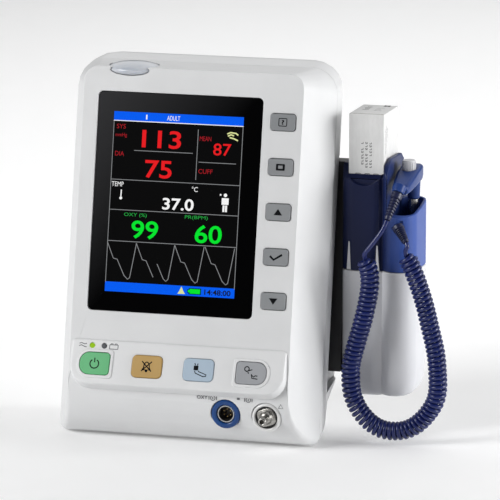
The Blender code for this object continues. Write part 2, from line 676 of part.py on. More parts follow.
def build_probe(body, materials):
    """Probe handle, shaft and ejector button."""
    probe = make_empty("probe_frame", (*WELL_AT, 0), body)
    handle = make_object("probe_handle", loft([
        [(x, y, z) for x, z in rounded_rect(half, low, high, 2.2, 2.4)]
        for y, half, low, high in HANDLE_STATIONS]), materials["blue"], probe,
        (EJECTOR_AT[0] - WELL_AT[0], -WELL_AT[1], 0.0))
    neck = turned([(4.0, 153.0), (4.6, 168.0)], 16)
    neck_obj = make_object("handle_neck_cutter", neck, None, probe)
    cut_with(handle, neck_obj, "UNION")
    boss_frame = make_empty("handle_boss_frame", PROBE_RELIEF[0], body)
    boss_frame.rotation_euler = relief_turn(PROBE_RELIEF)
    boss = make_object("handle_boss_cutter", turned([(4.0, -6.0), (4.0, -GAP)], 16), None,
                       boss_frame)
    cut_with(handle, boss, "UNION")
    ejector_place = (EJECTOR_AT[0] - WELL_AT[0], EJECTOR_AT[1] - WELL_AT[1], 0.0)
    cut(handle, "ejector_hole_cutter", turned([(4.7, 165.8), (4.7, 180.0)], 16), probe,
        ejector_place)
    shaft = [(1.2, 60.0), (2.0, 61.2), (2.0, 140.0), (3.3, 144.0), (3.3, 152.7)]
    make_object("probe_shaft", turned(shaft, 14), materials["metal"], probe, smooth=True)
    button = make_empty("ejector_frame", ejector_place, probe)
    cap = [(4.3, 169.0), (4.3, 178.8), (3.7, 179.6)]
    make_object("ejector_button", turned(cap, 18), materials["carton"], button, smooth=True)


# The probe cord: from the probe's relief to the coil, the coil, and on to its socket.
LEAD_PROBE = [(126.9, 46.2, 146.5), (124.6, 43.8, 140.6), (119.6, 42.8, 133.2),
              (114.6, 43.2, 126.8), (112.4, 44.2, 123.6)]
COIL_PROBE = [(115.8, 45.0, 122.0), (116.2, 45.0, 102.4), (112.6, 45.0, 83.7),
              (108.0, 45.0, 67.2), (104.4, 45.0, 53.0), (104.1, 45.0, 44.5)]
COIL_SOCKET = [(104.1, 45.0, 44.1), (104.4, 45.2, 37.0), (105.9, 45.7, 30.0), (110.1, 46.4, 21.6),
               (116.3, 47.6, 14.6), (123.4, 49.0, 10.4), (131.4, 50.4, 9.2),
               (139.3, 51.6, 10.4), (146.3, 52.6, 14.4), (152.5, 53.2, 21.0),
               (157.2, 53.4, 28.8), (159.0, 53.4, 36.2), (159.2, 53.2, 44.4),
               (157.9, 53.0, 60.5), (154.2, 52.6, 77.0), (149.6, 52.2, 95.4),
               (143.4, 51.6, 113.0), (137.6, 51.2, 126.3)]
LEAD_SOCKET = [(138.0, 51.1, 127.6), (139.0, 51.0, 129.0), (139.1, 51.4, 130.5),
               (138.3, 52.15, 131.5)]


def build_cord(body, materials):
    navy = materials["cord"]
    make_tube("cord_lead_probe", LEAD_PROBE, 6.5, LEAD_DIAMETER, 2, navy, body)
    make_tube("cord_coil_probe", COIL_PROBE, 7.0, COIL_DIAMETER, 3, navy, body)
    make_tube("cord_coil_socket", COIL_SOCKET, 7.0, COIL_DIAMETER, 3, navy, body)
    make_tube("cord_lead_socket", LEAD_SOCKET, 2.0, LEAD_DIAMETER, 2, navy, body)


def build_all():
    clear_scene()
    materials = {
        "white": make_material("white_housing", (0.78, 0.79, 0.80), 0.38),
        "glass": make_material("window_glass", (0.01, 0.01, 0.012), 0.08),
        "dark": make_material("dark_plastic", (0.03, 0.03, 0.035), 0.45),
        "metal": make_material("bright_metal", (0.62, 0.62, 0.60), 0.28, 1.0),
        "board": make_material("circuit_board", (0.03, 0.20, 0.08), 0.5),
        "grey_key": make_material("grey_key", (0.30, 0.32, 0.33), 0.45),
        "power_button": make_material("green_key", (0.16, 0.52, 0.27), 0.4),
        "silence_button": make_material("amber_key", (0.56, 0.36, 0.11), 0.4),
        "cuff_button": make_material("pale_blue_key", (0.46, 0.56, 0.66), 0.4),
        "trend_button": make_material("mid_grey_key", (0.36, 0.37, 0.38), 0.4),
        "ac_lamp": make_material("green_lamp", (0.45, 0.62, 0.12), 0.3),
        "battery_lamp": make_material("grey_lamp", (0.12, 0.12, 0.12), 0.3),
        "lens": make_material("alarm_lens", (0.72, 0.76, 0.82), 0.25),
        "socket_blue": make_material("socket_blue", (0.03, 0.14, 0.42), 0.4),
        "blue": make_material("chamber_blue", (0.03, 0.06, 0.24), 0.42),
        "cord": make_material("cord_blue", (0.02, 0.03, 0.20), 0.35),
        "carton": make_material("white_card", (0.72, 0.72, 0.71), 0.7),
        "rubber": make_material("grey_rubber", (0.08, 0.08, 0.08), 0.8),
    }
    body = make_empty("body_frame", (BODY_X, BODY_Y, 0.0))
    face = make_empty("face_frame", (0.0, 0.0, DATUM_Z), body, math.radians(90) - LEAN)
    build_front_shell(face, body, materials["white"])
    make_object("alarm_lens", lens_solid(), materials["lens"], body, smooth=True)
    build_display(face, materials["glass"], materials["dark"], materials["metal"])
    build_side_keys(face, materials["grey_key"], materials["board"])
    build_key_bar(face, materials)
    build_sockets(body, materials)
    build_rear(body, materials)
    build_inside(face, body, materials)
    build_housing(body, materials)
    build_chamber(body, materials)
    build_probe(body, materials)
    build_relief("probe_strain_relief", PROBE_RELIEF, materials["cord"], body)
    build_relief("socket_strain_relief", SOCKET_RELIEF, materials["cord"], body)
    build_cord(body, materials)


build_all()
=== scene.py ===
import math

import bmesh
import bpy
from mathutils import Matrix, Vector


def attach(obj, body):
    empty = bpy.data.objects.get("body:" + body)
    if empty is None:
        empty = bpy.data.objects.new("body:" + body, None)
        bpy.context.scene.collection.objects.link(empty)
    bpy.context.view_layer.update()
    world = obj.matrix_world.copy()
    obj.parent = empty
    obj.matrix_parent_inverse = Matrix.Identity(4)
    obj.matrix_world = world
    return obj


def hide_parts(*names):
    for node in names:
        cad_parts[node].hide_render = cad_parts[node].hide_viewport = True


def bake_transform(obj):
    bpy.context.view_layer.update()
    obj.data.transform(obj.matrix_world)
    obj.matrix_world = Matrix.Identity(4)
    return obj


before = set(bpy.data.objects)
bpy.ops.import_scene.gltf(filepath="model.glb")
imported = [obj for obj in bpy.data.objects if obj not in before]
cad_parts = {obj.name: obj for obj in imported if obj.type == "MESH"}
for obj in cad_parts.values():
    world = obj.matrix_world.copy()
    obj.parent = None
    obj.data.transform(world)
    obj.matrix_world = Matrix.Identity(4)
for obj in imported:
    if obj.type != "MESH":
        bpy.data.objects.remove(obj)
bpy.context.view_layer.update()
print("frame loaded with", len(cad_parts), "nodes")

# The monitor is laid out in millimetres: x from its centre plane, y back from the
# foot of its face, z up from the surface it stands on.
mm = 0.001
monitorX = -26.75
monitorY = -54.699
lean = math.radians(11.3)      # how far the face leans back
faceFoot = 7.0                 # height where the face's own measure starts
barKeyRow = 44.7               # the large keys' row, up the face
barTop = 60.0                  # upper edge of the key bar, up the face
barThin = 0.9                  # how far the bar stands out there
barFall = 6.1 / 28.0           # how fast it grows thicker downwards
barSlope = math.atan(barFall)
socketDrop = math.radians(3.0)


def bodyPoint(x, y, z):
    return Vector(((monitorX + x) * mm, (monitorY + y) * mm, z * mm))


def barDepth(height):
    return barThin + (barTop - height) * barFall


def turnX(degrees):
    return Matrix.Rotation(math.radians(degrees), 4, "X")


def shift(x, y, z=0.0):
    return Matrix.Translation(Vector((x, y, z)) * mm)


def bodyPlace(x, y, z=0.0):
    return Matrix.Translation(bodyPoint(x, y, z))


faceFrame = bodyPlace(0, 0, faceFoot) @ turnX(90 - math.degrees(lean))
barFrame = faceFrame @ shift(0, barKeyRow, barDepth(barKeyRow)) @ turnX(-math.degrees(barSlope))


def facePlace(x, height, out=0.0):
    return faceFrame @ shift(x, height, out)


def barPlace(x, up=0.0, out=0.0):
    return barFrame @ shift(x, up, out)


def socketPlace(x, y, z):
    return bodyPlace(x, y, z) @ turnX(90 + math.degrees(socketDrop))


def backPlace(x, z, y=104.5):
    return bodyPlace(x, y, z) @ turnX(90) @ Matrix.Rotation(math.pi, 4, "Y")


def clearSelection():
    if bpy.context.object and bpy.context.object.mode != "OBJECT":
        bpy.ops.object.mode_set(mode="OBJECT")
    bpy.ops.object.select_all(action="DESELECT")


def selectOnly(*pieces):
    clearSelection()
    for piece in pieces:
        piece.select_set(True)
    bpy.context.view_layer.objects.active = pieces[0]


def pickEdges(piece, test):
    bpy.ops.mesh.select_mode(type="EDGE")
    bpy.ops.mesh.select_all(action="DESELECT")
    mesh = bmesh.from_edit_mesh(piece.data)
    for edge in mesh.edges:
        edge.select_set(test(edge.verts[0].co, edge.verts[1].co))
    bmesh.update_edit_mesh(piece.data)


def bevelEdges(piece, test, width, steps, clamp=False):
    bpy.ops.object.mode_set(mode="EDIT")
    pickEdges(piece, test)
    bpy.ops.mesh.bevel(offset=width * mm, segments=steps, affect="EDGES", clamp_overlap=clamp)
    bpy.ops.object.mode_set(mode="OBJECT")


def isUpright(a, b):
    return abs(a.z - b.z) > 1e-6


def roundRim(piece, top, width, steps):
    # rounds every edge that lies in the upper face
    level = top * mm - 1e-6
    bevelEdges(piece, lambda a, b: a.z > level and b.z > level, width, steps)


def place(piece, matrix):
    piece.matrix_world = matrix @ piece.matrix_world
    selectOnly(piece)
    bpy.ops.object.transform_apply(location=True, rotation=True, scale=True)


def settle(piece, name, body, slot, material, nodes=(), angle=35):
    selectOnly(piece)
    bpy.ops.object.transform_apply(location=True, rotation=True, scale=True)
    piece.name = name
    piece.data.name = name
    piece.data.materials.clear()
    piece.data.materials.append(material)
    bpy.ops.object.shade_smooth_by_angle(angle=math.radians(angle))
    even = piece.modifiers.new("even", "WEIGHTED_NORMAL")
    even.keep_sharp = True
    applyAll(piece)
    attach(piece, body)
    if nodes:
        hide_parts(*nodes)


def put(piece, matrix, *finish):
    # moves a piece to its place and finishes it there
    place(piece, matrix)
    settle(piece, *finish)


def applyAll(piece):
    selectOnly(piece)
    for modifier in list(piece.modifiers):
        bpy.ops.object.modifier_apply(modifier=modifier.name)


def roundEdges(piece, width, steps=2, angle=35):
    bevel = piece.modifiers.new("round", "BEVEL")
    bevel.width = width * mm
    bevel.segments = steps
    bevel.limit_method = "ANGLE"
    bevel.angle_limit = math.radians(angle)
    bevel.use_clamp_overlap = False
    applyAll(piece)


def fromNode(node, merge=0.02):
    # a merged copy of a CAD piece, ready for finer edges
    piece = bpy.data.objects.new(node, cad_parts[node].data.copy())
    bpy.context.scene.collection.objects.link(piece)
    selectOnly(piece)
    bpy.ops.object.mode_set(mode="EDIT")
    bpy.ops.mesh.select_all(action="SELECT")
    bpy.ops.mesh.remove_doubles(threshold=merge * mm)
    bpy.ops.mesh.dissolve_limited(angle_limit=math.radians(0.6))
    bpy.ops.object.mode_set(mode="OBJECT")
    return piece


def roundedSlab(width, height, corner, low, high, edge=0.0, steps=6, edgeSteps=3):
    # a plate lying in its own XY plane, with round corners and a rounded upper rim
    clearSelection()
    bpy.ops.mesh.primitive_cube_add(size=1, location=(0, 0, (low + high) / 2 * mm))
    slab = bpy.context.object
    slab.scale = (width * mm, height * mm, (high - low) * mm)
    bpy.ops.object.transform_apply(location=True, rotation=True, scale=True)
    if corner:
        bevelEdges(slab, isUpright, corner, steps)
    if edge:
        roundRim(slab, high, edge, edgeSteps)
    return slab


def turned(profile, sides=32, hollow=False):
    # rings pulled up and sized one after another round the Z axis
    clearSelection()
    radius, height = profile[0]
    bpy.ops.mesh.primitive_circle_add(vertices=sides, radius=radius * mm,
                                      location=(0, 0, height * mm))
    piece = bpy.context.object
    bpy.ops.object.transform_apply(location=True, rotation=True, scale=True)
    bpy.ops.object.mode_set(mode="EDIT")
    bpy.ops.mesh.select_mode(type="EDGE")
    bpy.ops.mesh.select_all(action="SELECT")
    if not hollow:
        bpy.ops.mesh.edge_face_add()
        pickEdges(piece, lambda a, b: True)
    for (radius, height), (nextRadius, nextHeight) in zip(profile, profile[1:]):
        bpy.ops.mesh.extrude_edges_move(
            TRANSFORM_OT_translate={"value": (0, 0, (nextHeight - height) * mm)})
        share = nextRadius / radius
        bpy.ops.transform.resize(value=(share, share, 1), center_override=(0, 0, nextHeight * mm))
    if hollow:
        bpy.ops.mesh.select_all(action="DESELECT")
        mesh = bmesh.from_edit_mesh(piece.data)
        for edge in mesh.edges:
            edge.select_set(edge.is_boundary)
        bmesh.update_edit_mesh(piece.data)
        bpy.ops.mesh.bridge_edge_loops()
    else:
        bpy.ops.mesh.edge_face_add()
    bpy.ops.mesh.select_all(action="SELECT")
    bpy.ops.mesh.normals_make_consistent(inside=False)
    bpy.ops.object.mode_set(mode="OBJECT")
    return piece


def joinPieces(pieces):
    selectOnly(*pieces)
    if len(pieces) > 1:
        bpy.ops.object.join()
    return bpy.context.object


def writing(words, width, height, thick=0.06, bold=0.0):
    # lettering fitted to a width and a height, its lower left corner at the origin
    clearSelection()
    bpy.ops.object.text_add()
    text = bpy.context.object
    text.data.body = words
    text.data.resolution_u = 4
    text.data.offset = bold
    text.data.extrude = 0.5
    bpy.ops.object.convert(target="MESH")
    text = bpy.context.object
    spots = [vert.co for vert in text.data.vertices]
    lowX = min(spot.x for spot in spots)
    lowY = min(spot.y for spot in spots)
    wide = max(spot.x for spot in spots) - lowX
    tall = max(spot.y for spot in spots) - lowY
    size = Matrix.Diagonal((width / wide * mm, height / tall * mm, thick * mm, 1))
    text.data.transform(size @ Matrix.Translation((-lowX, -lowY, 0)))
    return text


def addLine(curve, points, closed=False):
    spline = curve.splines.new("POLY")
    spline.points.add(len(points) - 1)
    spline.use_cyclic_u = closed
    for spot, (x, y, z) in zip(spline.points, points):
        spot.co = (x, y, z, 1)
    return spline


def curvePiece(curve):
    piece = bpy.data.objects.new(curve.name, curve)
    bpy.context.scene.collection.objects.link(piece)
    selectOnly(piece)
    return piece


def strokes(lines, width, thick=0.06):
    # pen lines: each is a list of points, drawn with round ends
    curve = bpy.data.curves.new("strokes", "CURVE")
    curve.dimensions = "3D"
    curve.bevel_depth = width / 2
    curve.bevel_resolution = 1
    curve.use_fill_caps = True
    for line in lines:
        addLine(curve, [(x, y, 0) for x, y in line])
    curvePiece(curve)
    bpy.ops.object.convert(target="MESH")
    piece = bpy.context.object
    piece.data.transform(Matrix.Diagonal((mm, mm, thick * 2 / width * mm, 1)))
    return piece


def filled(outlines, thick=0.06):
    # flat shapes with straight sides, an inner outline makes a hole
    curve = bpy.data.curves.new("filled", "CURVE")
    curve.dimensions = "2D"
    curve.fill_mode = "BOTH"
    curve.extrude = thick
    for outline in outlines:
        addLine(curve, [(x, y, 0) for x, y in outline], True)
    curvePiece(curve)
    bpy.ops.object.convert(target="MESH")
    piece = bpy.context.object
    piece.data.transform(Matrix.Scale(mm, 4))
    return piece


def rectangle(left, low, right, high):
    return [(left, low), (right, low), (right, high), (left, high)]


def arcLine(x, y, radius, start, end, steps=12):
    spots = []
    for step in range(steps + 1):
        angle = math.radians(start + (end - start) * step / steps)
        spots.append((x + radius * math.cos(angle), y + radius * math.sin(angle)))
    return spots


def newShader(name, colour, roughness, metal=0.0):
    material = bpy.data.materials.new(name)
    material.use_nodes = True
    shader = material.node_tree.nodes["Principled BSDF"]
    shader.inputs["Base Color"].default_value = (*colour, 1)
    shader.inputs["Roughness"].default_value = roughness
    shader.inputs["Metallic"].default_value = metal
    return material, shader


def addNode(material, kind):
    return material.node_tree.nodes.new("ShaderNode" + kind)


def link(material, source, target):
    material.node_tree.links.new(source, target)


def objectNoise(material, scale, detail=3.0, stretch=(1, 1, 1)):
    spot = addNode(material, "TexCoord")
    mapping = addNode(material, "Mapping")
    mapping.inputs["Scale"].default_value = stretch
    noise = addNode(material, "TexNoise")
    noise.inputs["Scale"].default_value = scale
    noise.inputs["Detail"].default_value = detail
    link(material, spot.outputs["Object"], mapping.inputs["Vector"])
    link(material, mapping.outputs["Vector"], noise.inputs["Vector"])
    return noise


def swing(material, source, low, high, target):
    ranged = addNode(material, "MapRange")
    ranged.inputs["From Min"].default_value = 0.3
    ranged.inputs["From Max"].default_value = 0.7
    ranged.inputs["To Min"].default_value = low
    ranged.inputs["To Max"].default_value = high
    link(material, source, ranged.inputs["Value"])
    link(material, ranged.outputs["Result"], target)


def twoTone(material, source, first, second, target, low=0.35, high=0.65):
    ramp = addNode(material, "ValToRGB")
    ramp.color_ramp.elements[0].position = low
    ramp.color_ramp.elements[0].color = (*first, 1)
    ramp.color_ramp.elements[1].position = high
    ramp.color_ramp.elements[1].color = (*second, 1)
    link(material, source, ramp.inputs["Fac"])
    link(material, ramp.outputs["Color"], target)


def grain(material, shader, noise, depth, strength=0.4):
    bump = addNode(material, "Bump")
    bump.inputs["Strength"].default_value = strength
    bump.inputs["Distance"].default_value = depth * mm
    link(material, noise.outputs["Fac"], bump.inputs["Height"])
    link(material, bump.outputs["Normal"], shader.inputs["Normal"])


def mouldedPlastic(name, colour, tint, roughness=(0.34, 0.44), grainSize=0.5, depth=0.03,
                   coat=0.0, shine=0.5):
    material, shader = newShader(name, colour, roughness[0])
    clouds = objectNoise(material, 28.0, 4.0)
    twoTone(material, clouds.outputs["Fac"], colour, tint, shader.inputs["Base Color"])
    handling = objectNoise(material, 90.0, 5.0)
    swing(material, handling.outputs["Fac"], roughness[0], roughness[1],
          shader.inputs["Roughness"])
    fine = objectNoise(material, 1000.0 / grainSize, 2.0)
    grain(material, shader, fine, depth, 0.35)
    shader.inputs["Specular IOR Level"].default_value = shine
    shader.inputs["Coat Weight"].default_value = coat
    shader.inputs["Coat Roughness"].default_value = 0.08
    return material


def turnedMetal(name, colour, tint, roughness, stretch=(1, 1, 1), scale=600.0):
    material, shader = newShader(name, colour, roughness, 1.0)
    lines = objectNoise(material, scale, 4.0, stretch)
    twoTone(material, lines.outputs["Fac"], colour, tint, shader.inputs["Base Color"])
    swing(material, lines.outputs["Fac"], roughness * 0.8, roughness * 1.3,
          shader.inputs["Roughness"])
    grain(material, shader, lines, 0.01, 0.25)
    return material


def litInk(name, colour, strength):
    material, shader = newShader(name, (0.001, 0.001, 0.001), 0.3)
    shader.inputs["Specular IOR Level"].default_value = 0.05
    cells = objectNoise(material, 3200.0, 1.0)
    dim = tuple(0.82 * value for value in colour)
    twoTone(material, cells.outputs["Fac"], dim, colour, shader.inputs["Emission Color"])
    shader.inputs["Emission Strength"].default_value = strength
    return material


housingWhite = mouldedPlastic("housingWhite", (0.72, 0.725, 0.73), (0.69, 0.695, 0.70))
barWhite = mouldedPlastic("barWhite", (0.74, 0.745, 0.75), (0.71, 0.715, 0.72), (0.3, 0.38))
moduleWhite = mouldedPlastic("moduleWhite", (0.66, 0.665, 0.69), (0.63, 0.635, 0.66))
collarWhite = mouldedPlastic("collarWhite", (0.74, 0.74, 0.735), (0.70, 0.70, 0.695), (0.25, 0.33))
keyGrey = mouldedPlastic("keyGrey", (0.25, 0.26, 0.27), (0.22, 0.23, 0.24), (0.45, 0.55))
keyGreen = mouldedPlastic("keyGreen", (0.11, 0.47, 0.19), (0.09, 0.42, 0.16), (0.42, 0.5))
keyAmber = mouldedPlastic("keyAmber", (0.50, 0.31, 0.085), (0.45, 0.275, 0.07), (0.42, 0.5))
keyPaleBlue = mouldedPlastic("keyPaleBlue", (0.40, 0.50, 0.60), (0.36, 0.46, 0.56), (0.42, 0.5))
keyMidGrey = mouldedPlastic("keyMidGrey", (0.33, 0.34, 0.36), (0.30, 0.31, 0.33), (0.42, 0.5))
printDark = mouldedPlastic("printDark", (0.004, 0.0045, 0.006), (0.008, 0.0085, 0.01), (0.5, 0.6),
                           shine=0.05)
cardBrown = mouldedPlastic("cardBrown", (0.20, 0.165, 0.13), (0.15, 0.12, 0.09), (0.6, 0.7),
                           shine=0.1)
printGrey = mouldedPlastic("printGrey", (0.09, 0.095, 0.105), (0.12, 0.125, 0.135), (0.5, 0.6),
                           shine=0.2)
probeBlue = mouldedPlastic("probeBlue", (0.018, 0.048, 0.20), (0.014, 0.038, 0.16),
                           (0.32, 0.4), 0.35, 0.01, 0.04, 0.2)
reliefBlue = mouldedPlastic("reliefBlue", (0.008, 0.011, 0.045), (0.011, 0.015, 0.06),
                            (0.34, 0.46), 0.3, 0.02)
cordJacket = mouldedPlastic("cordJacket", (0.009, 0.017, 0.11), (0.006, 0.012, 0.085),
                            (0.24, 0.34), 0.25, 0.01, 0.1, 0.4)
socketBlue = mouldedPlastic("socketBlue", (0.007, 0.058, 0.22), (0.005, 0.045, 0.18),
                            (0.26, 0.34), 0.4, 0.015, 0.1, 0.35)
blackPlastic = mouldedPlastic("blackPlastic", (0.02, 0.02, 0.022), (0.028, 0.028, 0.03),
                              (0.4, 0.52), 0.4, 0.03)
footRubber = mouldedPlastic("footRubber", (0.045, 0.045, 0.045), (0.06, 0.06, 0.06),
                            (0.75, 0.85), 0.6, 0.06)
ejectorWhite = mouldedPlastic("ejectorWhite", (0.62, 0.62, 0.64), (0.58, 0.58, 0.6))
steelPlain = turnedMetal("steelPlain", (0.58, 0.58, 0.57), (0.48, 0.48, 0.47), 0.28)
steelBright = turnedMetal("steelBright", (0.42, 0.41, 0.39), (0.32, 0.31, 0.29), 0.27)
aluminiumPlate = turnedMetal("aluminiumPlate", (0.52, 0.53, 0.54), (0.46, 0.47, 0.48), 0.4,
                             (1, 1, 0.05), 900.0)
contactBrass = turnedMetal("contactBrass", (0.62, 0.46, 0.22), (0.54, 0.38, 0.16), 0.3)


def windowMaterial():
    # black glass, with a painted reflection that makes it a little greyer towards its top left
    # corner
    material, shader = newShader("windowBlack", (0.002, 0.002, 0.002), 0.1)
    haze = objectNoise(material, 16.0, 3.0)
    swing(material, haze.outputs["Fac"], 0.07, 0.12, shader.inputs["Roughness"])
    spot = addNode(material, "TexCoord")
    slant = addNode(material, "VectorMath")
    slant.operation = "DOT_PRODUCT"
    slant.inputs[1].default_value = (-4.0, 0.0, 3.0)
    link(material, spot.outputs["Object"], slant.inputs[0])
    # painted reflection: the base colour rises from near black to grey towards the top left
    twoTone(material, slant.outputs["Value"], (0.0012, 0.0012, 0.0014), (0.034, 0.034, 0.036),
            shader.inputs["Base Color"], 0.60, 1.0)
    shader.inputs["Specular IOR Level"].default_value = 0.06
    return material


def chamberMaterial():
    # painted shade and light: the plastic is painted much darker on the carton's side, where the
    # monitor shades it, and brighter blue on the probe's side, where the side light falls
    material, shader = newShader("chamberBlue", (0.02, 0.04, 0.16), 0.36)
    clouds = objectNoise(material, 30.0, 4.0)
    swing(material, clouds.outputs["Fac"], 0.32, 0.42, shader.inputs["Roughness"])
    spot = addNode(material, "TexCoord")
    axes = addNode(material, "SeparateXYZ")
    link(material, spot.outputs["Object"], axes.inputs["Vector"])
    across = addNode(material, "Math")
    across.operation = "MULTIPLY"
    across.inputs[1].default_value = 8.0
    link(material, axes.outputs["X"], across.inputs[0])
    # painted shade at low x (the carton's side), painted light at high x (the probe's side)
    twoTone(material, across.outputs["Value"], (0.004, 0.008, 0.042), (0.042, 0.088, 0.33),
            shader.inputs["Base Color"], 0.745, 0.86)
    shader.inputs["Specular IOR Level"].default_value = 0.2
    fine = objectNoise(material, 2500.0, 2.0)
    grain(material, shader, fine, 0.02, 0.35)
    return material


def cardMaterial():
    material, shader = newShader("cartonCard", (0.70, 0.70, 0.69), 0.6)
    fibres = objectNoise(material, 420.0, 6.0, (1, 1, 0.3))
    twoTone(material, fibres.outputs["Fac"], (0.67, 0.67, 0.665), (0.72, 0.72, 0.715),
            shader.inputs["Base Color"])
    swing(material, fibres.outputs["Fac"], 0.5, 0.66, shader.inputs["Roughness"])
    grain(material, shader, fibres, 0.03, 0.3)
    return material


def boardMaterial():
    material, shader = newShader("boardGreen", (0.02, 0.16, 0.06), 0.4)
    tracks = addNode(material, "TexVoronoi")
    tracks.feature = "DISTANCE_TO_EDGE"
    tracks.distance = "CHEBYCHEV"
    tracks.inputs["Scale"].default_value = 220.0
    spot = addNode(material, "TexCoord")
    link(material, spot.outputs["Object"], tracks.inputs["Vector"])
    twoTone(material, tracks.outputs["Distance"], (0.05, 0.27, 0.10), (0.015, 0.13, 0.05),
            shader.inputs["Base Color"], 0.03, 0.06)
    return material


def lensMaterial():
    material, shader = newShader("alarmLens", (0.52, 0.55, 0.60), 0.32)
    milk = objectNoise(material, 60.0, 2.0)
    twoTone(material, milk.outputs["Fac"], (0.48, 0.51, 0.56), (0.56, 0.58, 0.62),
            shader.inputs["Base Color"])
    shader.inputs["Subsurface Weight"].default_value = 0.3
    shader.inputs["Subsurface Radius"].default_value = (0.004, 0.005, 0.006)
    shader.inputs["Subsurface Scale"].default_value = 1.0
    shader.inputs["Coat Weight"].default_value = 0.6
    shader.inputs["Coat Roughness"].default_value = 0.05
    return material


windowBlack = windowMaterial()
chamberBlue = chamberMaterial()
cartonCard = cardMaterial()
boardGreen = boardMaterial()
alarmLensMilk = lensMaterial()
inkBlack = litInk("inkBlack", (0.001, 0.001, 0.0012), 1.0)
inkRed = litInk("inkRed", (0.86, 0.012, 0.016), 1.0)
inkDarkRed = litInk("inkDarkRed", (0.42, 0.012, 0.02), 1.0)
inkGreen = litInk("inkGreen", (0.0, 0.85, 0.03), 1.0)
inkDarkGreen = litInk("inkDarkGreen", (0.02, 0.40, 0.06), 1.0)
inkWhite = litInk("inkWhite", (1.0, 1.0, 1.0), 1.0)
inkGrey = litInk("inkGrey", (0.32, 0.33, 0.34), 0.8)
inkBlue = litInk("inkBlue", (0.0, 0.115, 0.96), 1.0)
inkYellow = litInk("inkYellow", (0.85, 0.9, 0.4), 0.9)
lampGreen = litInk("lampGreen", (0.35, 0.62, 0.02), 0.9)
print("finishes ready")


cameraPlan = {
    "aim": (41.5, 30.0, 126.05),
    "around": 16.2,        # degrees to the right of the face
    "above": 11.3,
    "distance": 3000.0,
    "lens": 340.0,
}


def makeCamera(plan):
    around = math.radians(plan["around"])
    above = math.radians(plan["above"])
    away = Vector((math.sin(around) * math.cos(above), -math.cos(around) * math.cos(above),
                   math.sin(above)))
    aim = bodyPoint(*plan["aim"])
    clearSelection()
    bpy.ops.object.camera_add(location=aim + away * plan["distance"] * mm)
    camera = bpy.context.object
    camera.rotation_euler = away.to_track_quat("Z", "Y").to_euler()
    camera.data.lens = plan["lens"]
    camera.data.sensor_width = 36
    camera.data.clip_end = 50
    bpy.context.scene.camera = camera


makeCamera(cameraPlan)
print("camera ready")


cordPlan = {
    "wire": 2.9,
    "coil": 12.4,          # across the outside of the turns
    "pitch": 3.04,
    "turnPoints": 16,
    "ramp": 3.2,           # along which the turns open out from the straight lead
}
leadProbe = [(126.9, 46.2, 146.5), (124.6, 43.8, 140.6), (119.6, 42.4, 133.2),
             (114.0, 41.6, 125.6)]
coilProbe = [(113.6, 43.4, 121.8), (116.0, 45.0, 112.0), (116.0, 45.0, 101.0),
             (112.6, 45.0, 83.7), (108.0, 45.0, 67.2), (104.4, 45.0, 53.0),
             (104.1, 45.0, 44.3)]
coilSocket = [(104.4, 45.2, 37.0), (105.9, 45.7, 30.0), (110.1, 46.4, 21.6),
              (116.3, 47.6, 14.6), (123.4, 49.0, 10.4), (131.4, 50.4, 9.2),
              (139.3, 51.6, 10.4), (146.3, 52.6, 14.4), (152.5, 53.2, 21.0),
              (157.2, 53.4, 28.8), (159.0, 53.4, 36.2), (159.2, 53.2, 44.4),
              (157.9, 53.0, 60.5), (154.2, 52.6, 77.0), (149.6, 52.2, 95.4),
              (143.4, 51.6, 113.0), (138.4, 51.2, 124.4)]
leadSocket = [(138.2, 51.1, 127.4), (139.2, 51.0, 129.2), (138.3, 52.15, 131.5)]


def smoothLine(points, step):
    # even steps along a smooth curve through the points
    points = [Vector(point) for point in points]
    chain = [points[0] * 2 - points[1]] + points + [points[-1] * 2 - points[-2]]
    dense = []
    for index in range(1, len(chain) - 2):
        before, start, end, after = chain[index - 1:index + 3]
        for count in range(60):
            t = count / 60
            dense.append(0.5 * (2 * start + (end - before) * t
                                + (2 * before - 5 * start + 4 * end - after) * t ** 2
                                + (3 * start - before - 3 * end + after) * t ** 3))
    dense.append(points[-1])
    line = [dense[0]]
    walked = 0.0
    for a, b in zip(dense, dense[1:]):
        stretch = (b - a).length
        while walked + stretch >= step * len(line):
            line.append(a.lerp(b, (step * len(line) - walked) / stretch))
        walked += stretch
    line.append(dense[-1])
    return line


def nearestIndex(line, point):
    return min(range(len(line)), key=lambda index: (line[index] - point).length)


def curlyCord(plan):
    # the wire's own centreline, split where the two arms meet
    step = plan["pitch"] / plan["turnPoints"]
    line = smoothLine(leadProbe + coilProbe + coilSocket + leadSocket, step)
    ends = (coilProbe[0], coilSocket[-1], coilProbe[-1])
    startAt, endAt, splitAt = (nearestIndex(line, Vector(end)) for end in ends)
    reach = (plan["coil"] - plan["wire"]) / 2
    side = Vector((-1, 0, 0))
    wires = ([], [])
    for index, spot in enumerate(line):
        ahead = line[min(index + 1, len(line) - 1)] - line[max(index - 1, 0)]
        ahead.normalize()
        side = (side - ahead * side.dot(ahead)).normalized()
        across = ahead.cross(side)
        inCoil = min(index - startAt, endAt - index) * step
        share = min(max(inCoil / plan["ramp"], 0.0), 1.0)
        radius = reach * share * share * (3 - 2 * share)
        angle = 2 * math.pi * (index - startAt) / plan["turnPoints"]
        centre = spot + (side * math.cos(angle) + across * math.sin(angle)) * radius
        if inCoil < 0 and index % 8 and index not in (0, len(line) - 1):
            continue
        if index <= splitAt:
            wires[0].append(bodyPoint(*centre))
        if index >= splitAt:
            wires[1].append(bodyPoint(*centre))
    return wires


def wireCurve(name, points, diameter):
    curve = bpy.data.curves.new(name, "CURVE")
    curve.dimensions = "3D"
    curve.bevel_depth = diameter / 2 * mm
    curve.bevel_resolution = 3
    curve.use_fill_caps = True
    addLine(curve, points).use_smooth = True
    curve.materials.append(cordJacket)
    return curvePiece(curve)


def wireLength(points):
    return sum((b - a).length for a, b in zip(points, points[1:]))


